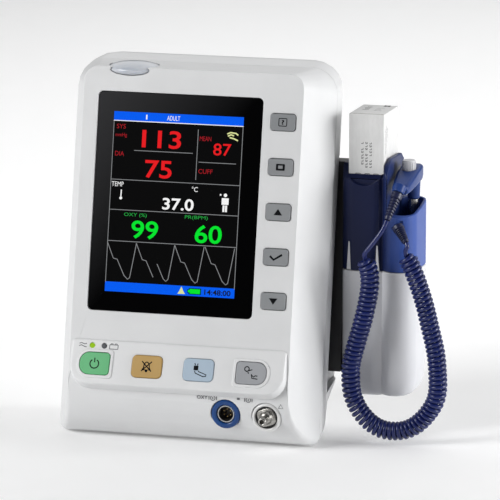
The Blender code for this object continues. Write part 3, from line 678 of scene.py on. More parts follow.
def makeCord(plan):
    probeSide, socketSide = curlyCord(plan)
    wireCurve("cordProbeSide", probeSide, plan["wire"])
    bpy.ops.object.convert(target="MESH")
    arm = bpy.context.object
    bpy.ops.object.shade_smooth()
    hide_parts("cord_lead_probe", "cord_coil_probe")
    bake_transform(arm)
    loop = wireCurve("cordSocketSide", socketSide, plan["wire"])
    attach(loop, "chamber")
    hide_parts("cord_coil_socket", "cord_lead_socket")
    print("cord lengths", round(wireLength(probeSide), 3), round(wireLength(socketSide), 3))


makeCord(cordPlan)


casePieces = {
    # CAD node: piece, slot, finish, edge rounding in mm
    "front_shell": ("frontCase", "white_housing", housingWhite, 0.35),
    "rear_shell": ("rearCase", "white_housing", housingWhite, 0.35),
    "base_block": ("baseBlock", "white_housing", housingWhite, 1.2),
    "battery_door": ("batteryDoor", "white_housing", housingWhite, 0.2),
    "thermometer_back_cover": ("moduleBackCover", "white_housing", moduleWhite, 0.3),
    # painted shade: the module bracket is black plastic so that it stands in for the shadow in the
    # side bay behind the module
    "module_bracket": ("moduleBracket", "carrier_black", blackPlastic, 0.6),
    "mounting_plate": ("mountingPlate", "plate_aluminium", aluminiumPlate, 0.4),
    "fuse_holder": ("fuseHolder", "carrier_black", blackPlastic, 0.25),
    "network_port": ("networkPort", "carrier_black", blackPlastic, 0.25),
    "ac_inlet": ("mainsInlet", "carrier_black", blackPlastic, 0.3),
    "front_foot_left": ("frontFootLeft", "foot_rubber", footRubber, 0.25),
    "front_foot_right": ("frontFootRight", "foot_rubber", footRubber, 0.25),
    "rear_foot_left": ("rearFootLeft", "foot_rubber", footRubber, 0.25),
    "rear_foot_right": ("rearFootRight", "foot_rubber", footRubber, 0.25),
}
for node, (name, slot, finish, edge) in casePieces.items():
    piece = fromNode(node)
    roundEdges(piece, edge)
    settle(piece, name, "root", slot, finish, [node])

barPlan = {
    "lip": 1.1,            # rounding of the outer rim
    "sink": 0.7,           # how far the foot goes into the face
    "foot": 0.4,           # what lies lower than this is the foot
    "keys": (-54.4, -19.5, 14.8, 49.8),
    "keyReach": (10.6, 8.0),
    "lamps": (-57.4, -49.4),
    "lampRow": 56.2,
    "lampReach": 2.2,
}


def makeKeyBar(plan):
    bar = fromNode("key_bar")
    toFace = faceFrame.inverted()

    def nearest(spot, places, row):
        across = min(abs(spot.x / mm - x) for x in places)
        return across, abs(spot.y / mm - row)

    def inOpening(spot):
        across, up = nearest(spot, plan["keys"], barKeyRow)
        if across < plan["keyReach"][0] and up < plan["keyReach"][1]:
            return True
        return max(nearest(spot, plan["lamps"], plan["lampRow"])) < plan["lampReach"]

    def onRim(spot):
        return spot.z / mm > barDepth(spot.y / mm) - 0.1 and not inOpening(spot)

    bpy.ops.object.mode_set(mode="EDIT")
    foot = plan["foot"] * mm
    pickEdges(bar, lambda a, b: (toFace @ a).z < foot and (toFace @ b).z < foot)
    outward = faceFrame.to_3x3() @ Vector((0, 0, 1))
    bpy.ops.transform.translate(value=outward * -plan["sink"] * mm)
    bevelEdges(bar, lambda a, b: onRim(toFace @ a) and onRim(toFace @ b), plan["lip"], 4, True)
    settle(bar, "keyBar", "root", "white_housing", barWhite, ["key_bar"], 50)


makeKeyBar(barPlan)
print("case ready")

insidePieces = {
    "main_board": boardGreen,
    "side_key_board": boardGreen,
    "bar_key_board": boardGreen,
    "thermometer_board": boardGreen,
    "power_supply": steelPlain,
    "cuff_pump": steelPlain,
    "probe_shaft": steelBright,
    "display_carrier": blackPlastic,
    "lcd_panel": blackPlastic,
    "battery_pack": blackPlastic,
    "speaker": blackPlastic,
    "probe_well": chamberBlue,
}
for node, finish in insidePieces.items():
    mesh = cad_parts[node].data
    mesh.materials.clear()
    mesh.materials.append(finish)


screenPlan = {
    "glass": (109.2, 140.0),
    "glassAt": (-8.1, 149.0),
    "corner": 3.0,
    "left": -52.0,
    "right": 34.3,
    "low": 91.3,
    "high": 206.5,
    "barHeight": 5.6,
    "line": 0.42,
}
inkOut = -0.66             # how far the lit picture lies from the face's plane


def makeWindow(plan):
    width, height = plan["glass"]
    glass = roundedSlab(width, height, plan["corner"], -2.5, -0.7, 0.35)
    put(glass, facePlace(*plan["glassAt"]),
        "displayWindow", "root", "window_glass", windowBlack, ["display_window"])


def onScreen(piece, x, height, lift=0.0):
    place(piece, facePlace(x, height, inkOut + lift))
    return piece


def screenWord(words, x, height, width, tall, bold=0.0):
    return onScreen(writing(words, width, tall, 0.05, bold), x, height)


def screenLine(points, width):
    return onScreen(strokes([points], width, 0.04), 0, 0)


def screenBlock(left, low, right, high, lift=0.0):
    return onScreen(filled([rectangle(left, low, right, high)], 0.03), 0, 0, lift)


def inkPiece(name, pieces, ink):
    settle(joinPieces(pieces), name, "root", "lcd_face", ink)


pictureWords = {
    # piece: ink, then words, place, width, height, boldness
    "pressureFigures": (inkRed, [("113", -32.5, 184.1, 26.1, 11.4, 0.014),
                                 ("75", -29.5, 164.9, 17.9, 11.4, 0.014),
                                 ("87", 15.2, 181.4, 11.9, 7.7, 0.008)]),
    "pressureLabels": (inkDarkRed, [("SYS", -49.8, 195.6, 6.0, 2.9),
                                    ("mmHg", -50.3, 189.8, 7.6, 3.0),
                                    ("DIA", -50.0, 178.2, 6.0, 2.9),
                                    ("MEAN", 5.9, 190.2, 7.6, 2.9),
                                    ("CUFF", 6.1, 169.4, 9.4, 2.9)]),
    "temperatureFigures": (inkWhite, [("37.0", -16.6, 145.2, 20.8, 7.6, 0.018),
                                      ("TEMP", -51.2, 158.6, 8.0, 3.0),
                                      ("°C", 2.4, 157.6, 4.0, 3.2)]),
    "oxygenFigures": (inkGreen, [("99", -36.4, 125.8, 17.9, 11.6, 0.014),
                                 ("60", 6.0, 125.2, 17.9, 11.6, 0.014)]),
    "oxygenLabels": (inkDarkGreen, [("OXY (%)", -41.8, 139.2, 15.2, 2.9),
                                    ("PR(BPM)", -1.2, 139.6, 15.2, 2.9)]),
}


def inkWords(name):
    ink, words = pictureWords[name]
    inkPiece(name, [screenWord(*word) for word in words], ink)


def makePicture(plan):
    left, right, low, high = plan["left"], plan["right"], plan["low"], plan["high"]
    bar, line = plan["barHeight"], plan["line"]
    inkPiece("pictureGround", [screenBlock(left, low, right, high, -0.03)], inkBlack)
    inkPiece("pictureBars", [screenBlock(left, high - bar, right, high),
                             screenBlock(left, low, right, low + bar + 0.6)], inkBlue)
    inkPiece("pictureBarEdge", [screenBlock(left, high - bar - 0.5, right, high - bar)], inkWhite)
    rules = [[(left + 0.2, low + bar), (left + 0.2, high - bar - 0.6)],
             [(right - 0.2, low + bar), (right - 0.2, high - bar - 0.6)],
             [(-37.4, 182.0), (1.7, 182.0)], [(4.6, 165.2), (4.6, 197.3)],
             [(5.9, 176.6), (30.7, 176.6)]]
    rules += [[(left, height), (right, height)] for height in (163.0, 143.7, 123.7)]
    inkPiece("pictureRules", [screenLine(rule, line) for rule in rules], inkGrey)
    for name in ("pressureFigures", "pressureLabels", "temperatureFigures"):
        inkWords(name)
    bulb = filled([arcLine(-44.6, 151.2, 0.95, 0, 340, 16)], 0.03)
    stem = strokes([[(-44.6, 151.6), (-44.5, 156.6)]], 0.75, 0.04)
    person = [filled([arcLine(24.9, 156.4, 1.15, 0, 340, 14)], 0.03),
              filled([arcLine(21.7, 156.6, 0.6, 0, 340, 10)], 0.03),
              filled([rectangle(22.6, 150.4, 27.2, 154.6)], 0.03),
              filled([rectangle(23.4, 145.8, 24.7, 150.0)], 0.03),
              filled([rectangle(25.1, 145.8, 26.4, 150.0)], 0.03)]
    inkPiece("temperatureSigns", [onScreen(sign, 0, 0) for sign in [bulb, stem] + person], inkWhite)
    for name in ("oxygenFigures", "oxygenLabels"):
        inkWords(name)
    beat = [(0.0, 123.0), (4.6, 112.6), (7.2, 112.0), (12.4, 101.8), (14.8, 99.6), (16.2, 100.6)]
    waves = []
    for start in (-52.0, -32.6, -6.9, 13.3):
        wave = [(start + x, height) for x, height in beat]
        if start == -32.6:
            waves.append(wave[:4])
            wave = [(-18.0, 110.4), (-13.4, 101.2), (-11.6, 99.6), (-10.2, 101.0), (-6.9, 123.0)]
        else:
            wave.append((start + 19.6, 123.0))
        waves.append(wave)
    inkPiece("oxygenWave", [screenLine(wave, 0.5) for wave in waves], inkGrey)
    inkPiece("cuffSign", [onScreen(strokes([
        [(23.9, 195.4), (26.2, 196.4), (29.6, 196.0), (31.2, 194.9)],
        [(24.4, 194.0), (26.4, 195.0), (28.4, 194.4)],
        [(25.6, 193.2), (28.4, 192.6), (31.2, 191.4)]], 0.9, 0.04), 0, 0)], inkYellow)
    inkPiece("linkSign", [onScreen(filled([[(-3.4, 92.3), (1.6, 92.3), (0.4, 94.2),
                                            (-0.9, 97.0), (-2.2, 94.2)]], 0.03), 0, 0, 0.05)],
             inkYellow)
    inkPiece("batteryEdge", [screenBlock(4.0, 92.3, 12.2, 96.3, 0.03),
                             screenBlock(3.0, 93.3, 4.0, 95.4, 0.03)], inkBlack)
    inkPiece("batterySign", [screenBlock(4.6, 92.8, 11.6, 95.8, 0.07),
                             screenBlock(3.5, 93.7, 4.6, 95.0, 0.07)], inkGreen)
    clock = writing("14:48:00", 17.4, 3.5, 0.05, 0.02)
    put(clock, facePlace(14.4, 92.5, inkOut + 0.05), "clockFigures", "root", "lcd_face", printDark)
    heading = [writing(words, width, 3.0, 0.05) for words, width in (("1", 0.9), ("ADULT", 8.6))]
    for word, x in zip(heading, (-30.6, -16.5)):
        place(word, facePlace(x, 202.1, inkOut + 0.05))
    settle(joinPieces(heading), "headingWords", "root", "lcd_face", inkWhite)


makeWindow(screenPlan)
makePicture(screenPlan)
print("display ready")


sideKeyPlan = {
    "size": (16.2, 10.7),
    "corner": 1.8,
    "x": 60.5,
    "rows": {"key_help": 204.5, "key_print": 176.0, "key_up": 147.5, "key_ok": 119.0,
             "key_down": 91.0},
}
barKeyPlan = {
    "size": (20.0, 14.5),
    "corner": 3.0,
    "top": 1.2,
    "keys": {"power_button": (-54.4, keyGreen, "green_key"),
             "silence_button": (-19.5, keyAmber, "amber_key"),
             "cuff_button": (14.8, keyPaleBlue, "pale_blue_key"),
             "trend_button": (49.8, keyMidGrey, "mid_grey_key")},
}
pieceNames = {
    "key_help": "helpKey", "key_print": "printKey", "key_up": "upKey", "key_ok": "okKey",
    "key_down": "downKey", "power_button": "powerKey", "silence_button": "silenceKey",
    "cuff_button": "cuffKey", "trend_button": "trendKey",
}


def frameOutline(left, low, right, high, radius, steps=4):
    outline = []
    for x, y, start in ((right - radius, high - radius, 0), (left + radius, high - radius, 90),
                        (left + radius, low + radius, 180), (right - radius, low + radius, 270)):
        outline += arcLine(x, y, radius, start, start + 90, steps)
    return outline


def keySymbols():
    page = [strokes([frameOutline(-2.6, -2.4, 2.6, 2.4, 0.5) + [(2.6, 1.9)]], 0.55)]
    mark = writing("?", 1.7, 3.0, bold=0.03)
    mark.data.transform(shift(-0.85, -1.5))
    sheet = [filled([frameOutline(-2.9, -2.1, 2.9, 2.1, 0.5),
                     frameOutline(-1.5, -0.9, 1.5, 1.1, 0.2)])]
    rise = [filled([[(-2.8, -1.9), (2.8, -1.9), (0, 2.1)]])]
    tick = [strokes([[(-3.7, 0.6), (-1.2, -1.7), (4.2, 1.7)]], 1.35)]
    fall = [filled([[(-2.8, 1.9), (0, -2.1), (2.8, 1.9)]])]
    power = [strokes([arcLine(0, -0.3, 2.9, 122, 418, 24), [(0, 0.6), (0, 3.6)]], 0.75)]
    bell = [strokes([[(-2.9, -2.2), (2.9, -2.2), (1.9, -0.9), (1.7, 1.2), (0.9, 2.5),
                      (0, 2.9), (-0.9, 2.5), (-1.7, 1.2), (-1.9, -0.9), (-2.9, -2.2)],
                     [(-3.3, -3.1), (3.3, 3.3)], [(-3.3, 3.3), (3.3, -3.1)]], 0.75),
            filled([arcLine(0, -2.9, 0.85, 0, 340, 12)])]
    arm = [filled([rectangle(-3.0, -0.4, 0.0, 2.6)]),
           strokes([[(-2.0, 2.8), (-2.6, 4.2)], [(-0.8, 2.8), (-0.4, 4.0)],
                    [(-2.2, -0.8), (-1.7, -2.2), (3.6, -4.2), (5.4, -3.9), (5.6, -2.9),
                     (0.6, -1.2), (0.2, -0.6)]], 0.6)]
    chart = [strokes([arcLine(-3.0, 2.6, 1.5, -60, 260, 14), [(-3.4, 0.9), (0.6, 2.3)],
                      [(-2.2, 0.7), (-1.6, -0.4)],
                      [(0.3, -0.6), (0.9, -3.2), (4.6, -3.6)],
                      [(0.5, -1.2), (2.0, -2.4), (2.8, -1.5), (4.4, -1.6)]], 0.65)]
    return {"key_help": page + [mark], "key_print": sheet, "key_up": rise, "key_ok": tick,
            "key_down": fall, "power_button": power, "silence_button": bell,
            "cuff_button": arm, "trend_button": chart}


def makeSideKeys(plan, symbols):
    width, height = plan["size"]
    for node, row in plan["rows"].items():
        key = roundedSlab(width, height, plan["corner"], -4.2, 1.0, 0.55)
        put(key, facePlace(plan["x"], row), pieceNames[node], node, "grey_key", keyGrey, [node])
        symbol = joinPieces(symbols[node])
        put(symbol, facePlace(plan["x"], row, 1.02),
            pieceNames[node] + "Print", node, "grey_key", printDark)


def dShape(piece, corner, side):
    # a large round on the two corners of one side, and a small one on the others
    bevelEdges(piece, lambda a, b: isUpright(a, b) and a.x * side > 0, corner, 10)
    bevelEdges(piece, lambda a, b: isUpright(a, b) and a.x * side < 0, 2.4, 5)


def keyShape(width, height, low, high, corner, side, edge):
    piece = roundedSlab(width, height, 0 if side else corner, low, high)
    if side:
        dShape(piece, height * 0.44, side)
    roundRim(piece, high, edge, 3)
    return piece


def makeBarKeys(plan, symbols):
    width, height = plan["size"]
    ends = {"power_button": -1, "trend_button": 1}
    for node, (x, finish, slot) in plan["keys"].items():
        key = keyShape(width, height, -7.0, plan["top"] - 0.3, plan["corner"],
                       ends.get(node, 0), 0.6)
        put(key, barPlace(x), pieceNames[node], node, slot, finish, [node])
        symbol = joinPieces(symbols[node])
        put(symbol, barPlace(x, 0, plan["top"] - 0.28),
            pieceNames[node] + "Print", node, slot, printDark)


def makeKeyRims(plan):
    # a D-shaped collar closes the corners of the two end openings
    width, height = plan["size"]
    for node, side in (("power_button", -1), ("trend_button", 1)):
        rim = keyShape(width + 4.2, height + 4.2, -2.0, 0.75, 3.0, side, 0.5)
        inner = keyShape(width + 0.6, height + 0.6, -4.0, 3.0, 3.0, side, 0.1)
        cut = rim.modifiers.new("opening", "BOOLEAN")
        cut.object = inner
        applyAll(rim)
        bpy.data.objects.remove(inner)
        put(rim, barPlace(plan["keys"][node][0]),
            pieceNames[node] + "Collar", "root", "white_housing", barWhite)


lampPlan = {"ac_lamp": (-57.4, lampGreen, "green_lamp", "mainsLamp"),
            "battery_lamp": (-49.4, printGrey, "grey_lamp", "batteryLamp")}


def makeLamps(plan):
    up = 56.3 - barKeyRow
    for node, (x, finish, slot, name) in plan.items():
        lamp = turned([(1.65, -1.0), (1.65, 0.1), (1.5, 0.3), (1.2, 0.46), (0.8, 0.56),
                       (0.3, 0.6)], 24)
        put(lamp, barPlace(x, up), name, "root", slot, finish, [node])
    signs = [strokes([[(-66.2, 0.9), (-64.9, 1.5), (-63.6, 1.0), (-62.4, 0.7), (-61.2, 1.2)],
                      [(-66.2, -0.6), (-64.6, 0.0), (-63.2, -0.7), (-61.2, -1.2)]], 0.5),
             strokes([frameOutline(-45.8, -1.6, -40.2, 1.2, 0.3) + [(-40.2, 0.9)],
                      [(-45.0, 1.3), (-45.0, 1.9), (-43.8, 1.9), (-43.8, 1.3)],
                      [(-42.2, 1.3), (-42.2, 1.9), (-41.0, 1.9), (-41.0, 1.3)]], 0.5)]
    marks = joinPieces(signs)
    put(marks, barPlace(0, up, 0.02), "lampSigns", "root", "white_housing", printGrey)


symbols = keySymbols()
makeSideKeys(sideKeyPlan, symbols)
makeBarKeys(barKeyPlan, symbols)
makeKeyRims(barKeyPlan)
makeLamps(lampPlan)
print("keys ready")


def makeLens():
    lens = fromNode("alarm_lens", 0.01)
    smooth = lens.modifiers.new("smooth", "SUBSURF")
    smooth.levels = smooth.render_levels = 1
    applyAll(lens)
    settle(lens, "alarmLens", "root", "alarm_lens", alarmLensMilk, ["alarm_lens"], 180)


socketPlan = {
    "oxygenAt": (32.0, 9.6, 23.6),
    "cuffAt": (59.0, 9.6, 23.2),
    "contacts": 6,
}


def makeSockets(plan):
    oxygen = socketPlace(*plan["oxygenAt"])
    ring = turned([(6.0, -9.0), (7.5, -9.0), (7.5, 0.3), (9.5, 0.3), (9.55, 1.6), (9.4, 2.4),
                   (9.0, 3.0), (8.4, 3.2), (7.0, 3.2), (6.4, 3.0), (6.1, 2.6)], 48, True)
    put(ring, oxygen, "oxygenRing", "root", "socket_blue", socketBlue, ["spo2_ring"])
    insert = turned([(5.75, -12.0), (5.75, 1.0), (5.6, 1.5), (5.1, 1.7), (4.8, 1.4), (4.6, 0.6),
                     (4.6, -6.0), (4.4, -6.2), (0.6, -6.2)], 40)
    put(insert, oxygen,
        "oxygenInsert", "root", "contact_block", blackPlastic, ["spo2_contact_block"])
    lip = turned([(4.7, 1.2), (5.7, 1.2), (5.7, 1.75), (5.4, 1.95), (4.9, 1.9), (4.7, 1.6)],
                 40, True)
    put(lip, oxygen, "oxygenLip", "root", "contact_block", steelPlain)
    pins = []
    for count in range(plan["contacts"]):
        angle = math.radians(30 + 360 * count / plan["contacts"])
        pin = turned([(0.5, -6.1), (0.5, -1.8), (0.35, -1.3), (0.12, -1.2)], 12)
        pin.location = (2.5 * math.cos(angle) * mm, 2.5 * math.sin(angle) * mm, 0)
        pins.append(pin)
    pins = joinPieces(pins)
    put(pins, oxygen, "oxygenContacts", "root", "contact_block", contactBrass)
    cuff = socketPlace(*plan["cuffAt"])
    collar = turned([(7.4, 0.3), (9.7, 0.3), (9.65, 1.6), (9.4, 2.6), (8.9, 3.3), (8.2, 3.6),
                     (7.8, 3.5), (7.4, 3.1)], 48, True)
    put(collar, cuff, "cuffCollar", "root", "collar_white", collarWhite, ["cuff_collar"])
    seat = turned([(7.35, -3.0), (7.35, 2.1), (6.9, 2.3), (6.8, 1.6), (0.8, 1.6)], 40)
    put(seat, cuff, "cuffSeat", "root", "carrier_black", blackPlastic)
    body = turned([(6.0, -8.0), (6.0, 2.0), (5.7, 2.4), (4.6, 3.0), (3.8, 3.8), (3.4, 5.0),
                   (3.1, 5.4), (2.4, 5.7), (2.2, 6.2), (2.2, 10.0), (2.35, 10.4), (2.8, 10.7),
                   (2.85, 11.4), (2.7, 12.6), (2.4, 13.2), (1.9, 13.4), (1.45, 13.2),
                   (1.4, 7.0), (0.3, 7.0)], 36)
    place(body, cuff)
    nut = roundedSlab(11.2, 11.2, 2.8, 1.4, 3.0, 0.5, 4)
    place(nut, cuff @ Matrix.Rotation(math.radians(20), 4, "Z"))
    settle(joinPieces([body, nut]), "cuffFitting", "root", "bright_metal", steelBright,
           ["cuff_hose_fitting"])


signPlan = {
    "label": (13.4, 26.4, 7.0, 2.3),
    "rings": ((23.9, 27.4), (47.4, 27.6)),
    "patch": (40.8, 28.2),
    "triangle": (68.8, 24.6),
    "pen": 0.42,
}


def chinDepth(height):
    # how far the rounded chin falls back from the face's plane
    turn = math.asin(min(max((32.0 - height) / 32.0, 0.0), 1.0))
    return -31.0 * (1 - math.cos(turn))


def makeChinSigns(plan):
    x, height, width, tall = plan["label"]
    label = writing("OXY", width, tall, 0.05, 0.01)
    label.data.transform(shift(x, height))
    lines = []
    for x, height in plan["rings"]:
        lines += [arcLine(x, height, 1.5, 0, 360, 18), [(x, height - 0.8), (x, height + 0.8)],
                  [(x - 2.5, height - 1.2), (x - 2.5, height + 1.2)],
                  [(x + 2.5, height - 1.2), (x + 2.5, height + 1.2)]]
    x, height = plan["triangle"]
    lines.append([(x - 1.5, height - 1.1), (x + 1.5, height - 1.1), (x, height + 1.5),
                  (x - 1.5, height - 1.1)])
    x, height = plan["patch"]
    patch = filled([rectangle(x - 0.9, height - 0.9, x + 0.9, height + 0.9)], 0.05)
    signs = joinPieces([label, patch, strokes(lines, plan["pen"])])
    for vert in signs.data.vertices:
        vert.co.z += (chinDepth(vert.co.y / mm) + 0.02) * mm
    put(signs, facePlace(0, 0), "chinSigns", "root", "white_housing", printGrey)


makeLens()
makeSockets(socketPlan)
makeChinSigns(signPlan)
print("lens and sockets ready")


modulePieces = {
    "thermometer_housing": ("moduleHousing", "white_housing", moduleWhite, 0.5, "root"),
    "isolation_chamber": ("isolationChamber", "chamber_blue", chamberBlue, 0.5, "chamber"),
}
for node, (name, slot, finish, edge, body) in modulePieces.items():
    piece = fromNode(node)
    roundEdges(piece, edge)
    settle(piece, name, body, slot, finish, [node])

slotRibs = {"left": (98.0, 1.45, 0.35, 128.7), "right": (116.4, 1.55, 0.35, 126.7)}


def makeSlotRibs(plan):
    # guide ribs of the core, seen through the chamber's two tapered slots
    ribs = []
    for x, half, tip, top in plan.values():
        outline = [(-half, 110.5), (half, 110.5), (tip, top), (-tip, top)]
        rib = filled([outline], 1.3)
        place(rib, bodyPlace(x, 63.4) @ turnX(90))
        ribs.append(rib)
    settle(joinPieces(ribs), "slotRibs", "root", "white_housing", moduleWhite)


cartonPlan = {
    "low": (96.5, 66.3, 132.0),
    "high": (119.5, 102.3, 210.8),
    "printAt": (8.2, 176.5),
    "printStep": (2.7, 1.9),
    "printRows": 9,
    "printColumns": 3,
    "boxesAt": (4.6, 10.6, 16.4),
    "hatchAt": 183.0,
    "hatchLines": 9,
}


def makeCarton(plan):
    low, high = plan["low"], plan["high"]
    width, depth = high[0] - low[0], high[1] - low[1]
    middle = ((low[0] + high[0]) / 2, (low[1] + high[1]) / 2)
    box = roundedSlab(width, depth, 0.35, low[2], high[2], 0.3, 2, 2)
    put(box, bodyPlace(*middle),
        "coverCarton", "carton", "carton_card", cartonCard, ["probe_cover_carton"])
    # flap seam along the front top edge, and generic rows of print
    flap = filled([rectangle(-width / 2 + 0.4, -0.35, width / 2 - 0.4, 0.35)], 0.05)
    put(flap, bodyPlace(middle[0], low[1] + 1.0, high[2]),
        "cartonFlapSeam", "carton", "carton_card", cardBrown)
    front = bodyPlace(low[0], low[1]) @ turnX(90)
    dots = []
    for column in range(plan["printColumns"]):
        for row in range(plan["printRows"]):
            if (row * 5 + column * 3) % 7 == 0:
                continue
            x = plan["printAt"][0] + plan["printStep"][0] * column
            y = plan["printAt"][1] + plan["printStep"][1] * row
            lines = [[(x, y), (x + 1.2, y), (x + 1.2, y + 0.9)]]
            if (row + column) % 2:
                lines.append([(x, y + 1.0), (x + 0.6, y + 0.4)])
            dots.append(strokes(lines, 0.42, 0.03))
    for x in plan["boxesAt"]:
        dots.append(strokes([frameOutline(x, 167.8, x + 3.2, 172.4, 0.3) + [(x + 3.2, 172.0)],
                             [(x + 0.8, 169.2), (x + 2.4, 171.0)]], 0.4, 0.03))
    marks = joinPieces(dots)
    put(marks, front, "cartonFrontPrint", "carton", "carton_card", printDark)
    side = bodyPlace(high[0], low[1]) @ turnX(90) @ Matrix.Rotation(math.radians(90), 4, "Y")
    hatch = []
    for count in range(plan["hatchLines"]):
        start = plan["hatchAt"] + 2.0 * count
        reach = 7 - abs(4 - count)
        hatch.append(strokes([[(3.0, start), (3.0 + 1.1 * reach, start + 1.3 * reach)]],
                             0.22, 0.03))
    hatch = joinPieces(hatch)
    put(hatch, side, "cartonSidePrint", "carton", "carton_card", printGrey)
    top = bodyPlace(low[0], low[1], high[2])
    tags = [filled([rectangle(14.6, 31.0, 18.6, 35.4), rectangle(15.8, 32.4, 17.4, 34.0)], 0.03)]
    for row in range(4):
        tags.append(strokes([[(4.2 + row % 2, 17.0 + 3.4 * row), (8.4, 17.0 + 3.4 * row)]],
                            0.9, 0.03))
        tags.append(strokes([[(12.4, 15.0 + 3.0 * row), (17.4 - row % 3, 15.0 + 3.0 * row)]],
                            0.35, 0.03))
    tags = joinPieces(tags)
    put(tags, top, "cartonTopPrint", "carton", "carton_card", printDark)


probePlan = {
    "ejector": (131.6, 84.0),
    "probeRelief": ((131.0, 57.4, 162.4), (127.0, 46.5, 147.0), 3.6, 2.1),
    "socketRelief": ((130.6, 59.2, 140.6), (138.0, 52.4, 131.8), 3.8, 2.1),
    "ribs": 7,
    "buttonRibs": 18,
}


def reliefPlace(start, end):
    along = bodyPoint(*end) - bodyPoint(*start)
    return bodyPlace(*start) @ along.to_track_quat("Z", "Y").to_matrix().to_4x4()


def makeRelief(name, node, body, ends, ribs):
    start, end, thick, thin = ends
    length = (Vector(end) - Vector(start)).length
    profile = [(thick - 0.5, 0.0), (thick, 0.4), (thick, length * 0.2)]
    for count in range(ribs):
        at = 0.22 + 0.7 * count / ribs
        radius = thick + (thin - thick) * at
        space = 0.7 / ribs
        profile += [(radius - 0.75, (at + 0.12 * space) * length),
                    (radius - 0.75, (at + 0.4 * space) * length),
                    (radius - 0.1, (at + 0.5 * space) * length),
                    (radius, (at + 0.72 * space) * length),
                    (radius - 0.1, (at + 0.95 * space) * length)]
    profile += [(thin, length * 0.95), (thin - 0.25, length), (1.5, length)]
    relief = turned(profile, 28)
    put(relief, reliefPlace(start, end), name, body, "relief_rubber", reliefBlue, [node], 50)


def makeProbe(plan):
    handle = fromNode("probe_handle")
    roundEdges(handle, 0.7, 3, 40)
    settle(handle, "probeHandle", "probe", "probe_blue", probeBlue, ["probe_handle"], 50)
    button = turned([(4.3, 169.0), (4.3, 178.4), (4.15, 179.1), (3.7, 179.5), (2.8, 179.6),
                     (0.4, 179.6)], 36)
    ribs = [button]
    for count in range(plan["buttonRibs"]):
        angle = 2 * math.pi * count / plan["buttonRibs"]
        rib = roundedSlab(0.5, 0.7, 0.15, 170.0, 178.2, 0.1, 2, 1)
        rib.location = (4.3 * math.cos(angle) * mm, 4.3 * math.sin(angle) * mm, 0)
        rib.rotation_euler.z = angle
        ribs.append(rib)
    button = joinPieces(ribs)
    put(button, bodyPlace(*plan["ejector"]),
        "ejectorButton", "ejector", "ejector_white", ejectorWhite, ["ejector_button"])
    makeRelief("probeRelief", "probe_strain_relief", "probe", plan["probeRelief"], plan["ribs"])
    makeRelief("socketRelief", "socket_strain_relief", "chamber", plan["socketRelief"],
               plan["ribs"])


makeSlotRibs(slotRibs)
makeCarton(cartonPlan)
makeProbe(probePlan)
print("thermometer module ready")


backPlan = {
    "caseScrews": ((-60, 205), (60, 205), (-60, 60), (60, 60)),
    "plateScrews": ((-25, 115), (25, 115), (-25, 165), (25, 165)),
    "connectorRow": 78.0,
    "stud": 8.0,
    "inlet": -42.0,
    "network": 44.0,
    "fuse": -14.0,
    "latch": (0.0, 52.0),
    "ratingPlate": (-54.0, 140.0),
}


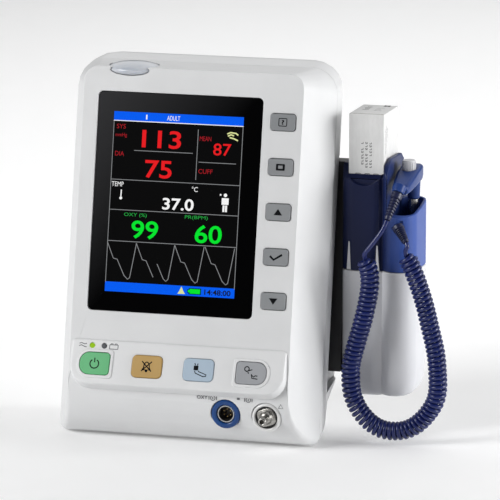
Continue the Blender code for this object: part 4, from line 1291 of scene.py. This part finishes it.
def makeBack(plan):
    row = plan["connectorRow"]
    for index, (x, height) in enumerate(plan["caseScrews"]):
        screw = turned([(2.6, 0.3), (2.6, 1.0), (2.3, 1.5), (1.7, 1.8), (0.3, 1.95)], 24)
        cross = roundedSlab(2.6, 0.6, 0, 1.0, 2.4)
        bar = roundedSlab(0.6, 2.6, 0, 1.0, 2.4)
        for cutter in (cross, bar):
            groove = screw.modifiers.new("groove", "BOOLEAN")
            groove.object = cutter
            applyAll(screw)
            bpy.data.objects.remove(cutter)
        put(screw, backPlace(x, height),
            f"caseScrew{index + 1}", "root", "steel", steelPlain, [f"case_screw_{index + 1}"])
    stud = turned([(3.0, -8.0), (3.0, 0.3), (4.6, 0.3), (4.6, 1.5), (4.3, 1.8), (3.0, 2.2),
                   (3.0, 7.9), (2.5, 8.7), (0.4, 8.8)], 32)
    put(stud, backPlace(plan["stud"], row),
        "groundStud", "root", "stud_brass", contactBrass, ["ground_stud"])
    pins = []
    for x, y in ((-7.0, -1.6), (0.0, 2.2), (7.0, -1.6)):
        pin = roundedSlab(2.0, 4.0, 0.3, -11.8, -2.0, 0.4, 2, 2)
        pin.location = (x * mm, y * mm, 0)
        pins.append(pin)
    pins = joinPieces(pins)
    put(pins, backPlace(plan["inlet"], row), "mainsPins", "root", "bright_metal", steelBright)
    contacts = []
    for count in range(8):
        contact = roundedSlab(0.55, 4.6, 0, -11.9, -5.0)
        contact.location = ((count - 3.5) * 1.15 * mm, 1.2 * mm, 0)
        contacts.append(contact)
    contacts = joinPieces(contacts)
    put(contacts, backPlace(plan["network"], row),
        "networkContacts", "root", "carrier_black", contactBrass)
    groove = roundedSlab(7.6, 1.1, 0, 2.4, 3.45)
    put(groove, backPlace(plan["fuse"], row), "fuseGrip", "root", "carrier_black", blackPlastic)
    heads = []
    for x, height in plan["plateScrews"]:
        head = turned([(3.6, 2.7), (3.6, 3.3), (3.1, 3.9), (1.7, 4.1), (1.6, 3.4), (0.2, 3.4)], 28)
        place(head, backPlace(x, height))
        heads.append(head)
    settle(joinPieces(heads), "plateScrews", "root", "plate_aluminium", steelPlain)
    latch = roundedSlab(18.0, 6.0, 2.0, 0.1, 1.1, 0.4)
    ridges = [latch]
    for count in range(5):
        ridge = roundedSlab(0.7, 4.0, 0.2, 1.0, 1.6, 0.2, 2, 2)
        ridge.location.x = (count - 2) * 2.6 * mm
        ridges.append(ridge)
    latch = joinPieces(ridges)
    put(latch, backPlace(*plan["latch"]), "batteryLatch", "root", "white_housing", housingWhite)
    plate = roundedSlab(23.0, 38.0, 1.2, 0.02, 0.2, 0.08, 4, 1)
    put(plate, backPlace(*plan["ratingPlate"]),
        "ratingPlate", "root", "plate_aluminium", aluminiumPlate)
    rows = strokes([[(-9.0, 15.0 - 3.0 * count), (8.6 - 2.2 * (count % 3), 15.0 - 3.0 * count)]
                    for count in range(11)], 0.6)
    put(rows, backPlace(*plan["ratingPlate"]) @ shift(0, 0, 0.21),
        "ratingPrint", "root", "plate_aluminium", printDark)


makeBack(backPlan)
print("back ready")


studioPlan = {
    "floor": 14,
    "paper": 0.93,
    "glow": 0.12,
    "sky": 0.07,
    "aim": (30, 30, 110),
    "lights": {
        # place in metres, size, power
        "keyLight": ((-1.8, -1.75, 1.35), 1.2, 58.0),
        "sideLight": ((2.4, 0.20, 0.6), 1.3, 56.0),
        "floorLight": ((0.1, 1.3, 0.8), 2.4, 16.0),
    },
}


def makeStudio(plan):
    clearSelection()
    bpy.ops.mesh.primitive_plane_add(size=plan["floor"])
    floor = bpy.context.object
    floor.name = "floor"
    tone = plan["paper"]
    paper, shader = newShader("floorPaper", (tone, tone, tone), 0.75)
    fibres = objectNoise(paper, 40.0, 4.0)
    twoTone(paper, fibres.outputs["Fac"], (tone - 0.01,) * 3, (tone + 0.015,) * 3,
            shader.inputs["Base Color"])
    shader.inputs["Emission Color"].default_value = (1, 1, 1, 1)
    shader.inputs["Emission Strength"].default_value = plan["glow"]
    floor.data.materials.append(paper)
    for name, (spot, size, power) in plan["lights"].items():
        clearSelection()
        bpy.ops.object.light_add(type="AREA", location=spot)
        light = bpy.context.object
        light.name = name
        light.data.size = size
        light.data.energy = power
        aim = Vector(spot) - bodyPoint(*plan["aim"])
        if name == "floorLight":
            aim = Vector((0, 0, 1))
        light.rotation_euler = aim.to_track_quat("Z", "Y").to_euler()
    world = bpy.data.worlds.new("studio")
    bpy.context.scene.world = world
    world.use_nodes = True
    sky = world.node_tree.nodes["Background"]
    sky.inputs["Color"].default_value = (0.97, 0.98, 1.0, 1)
    sky.inputs["Strength"].default_value = plan["sky"]
    bpy.context.scene.view_settings.view_transform = "Standard"


makeStudio(studioPlan)
print("studio ready")
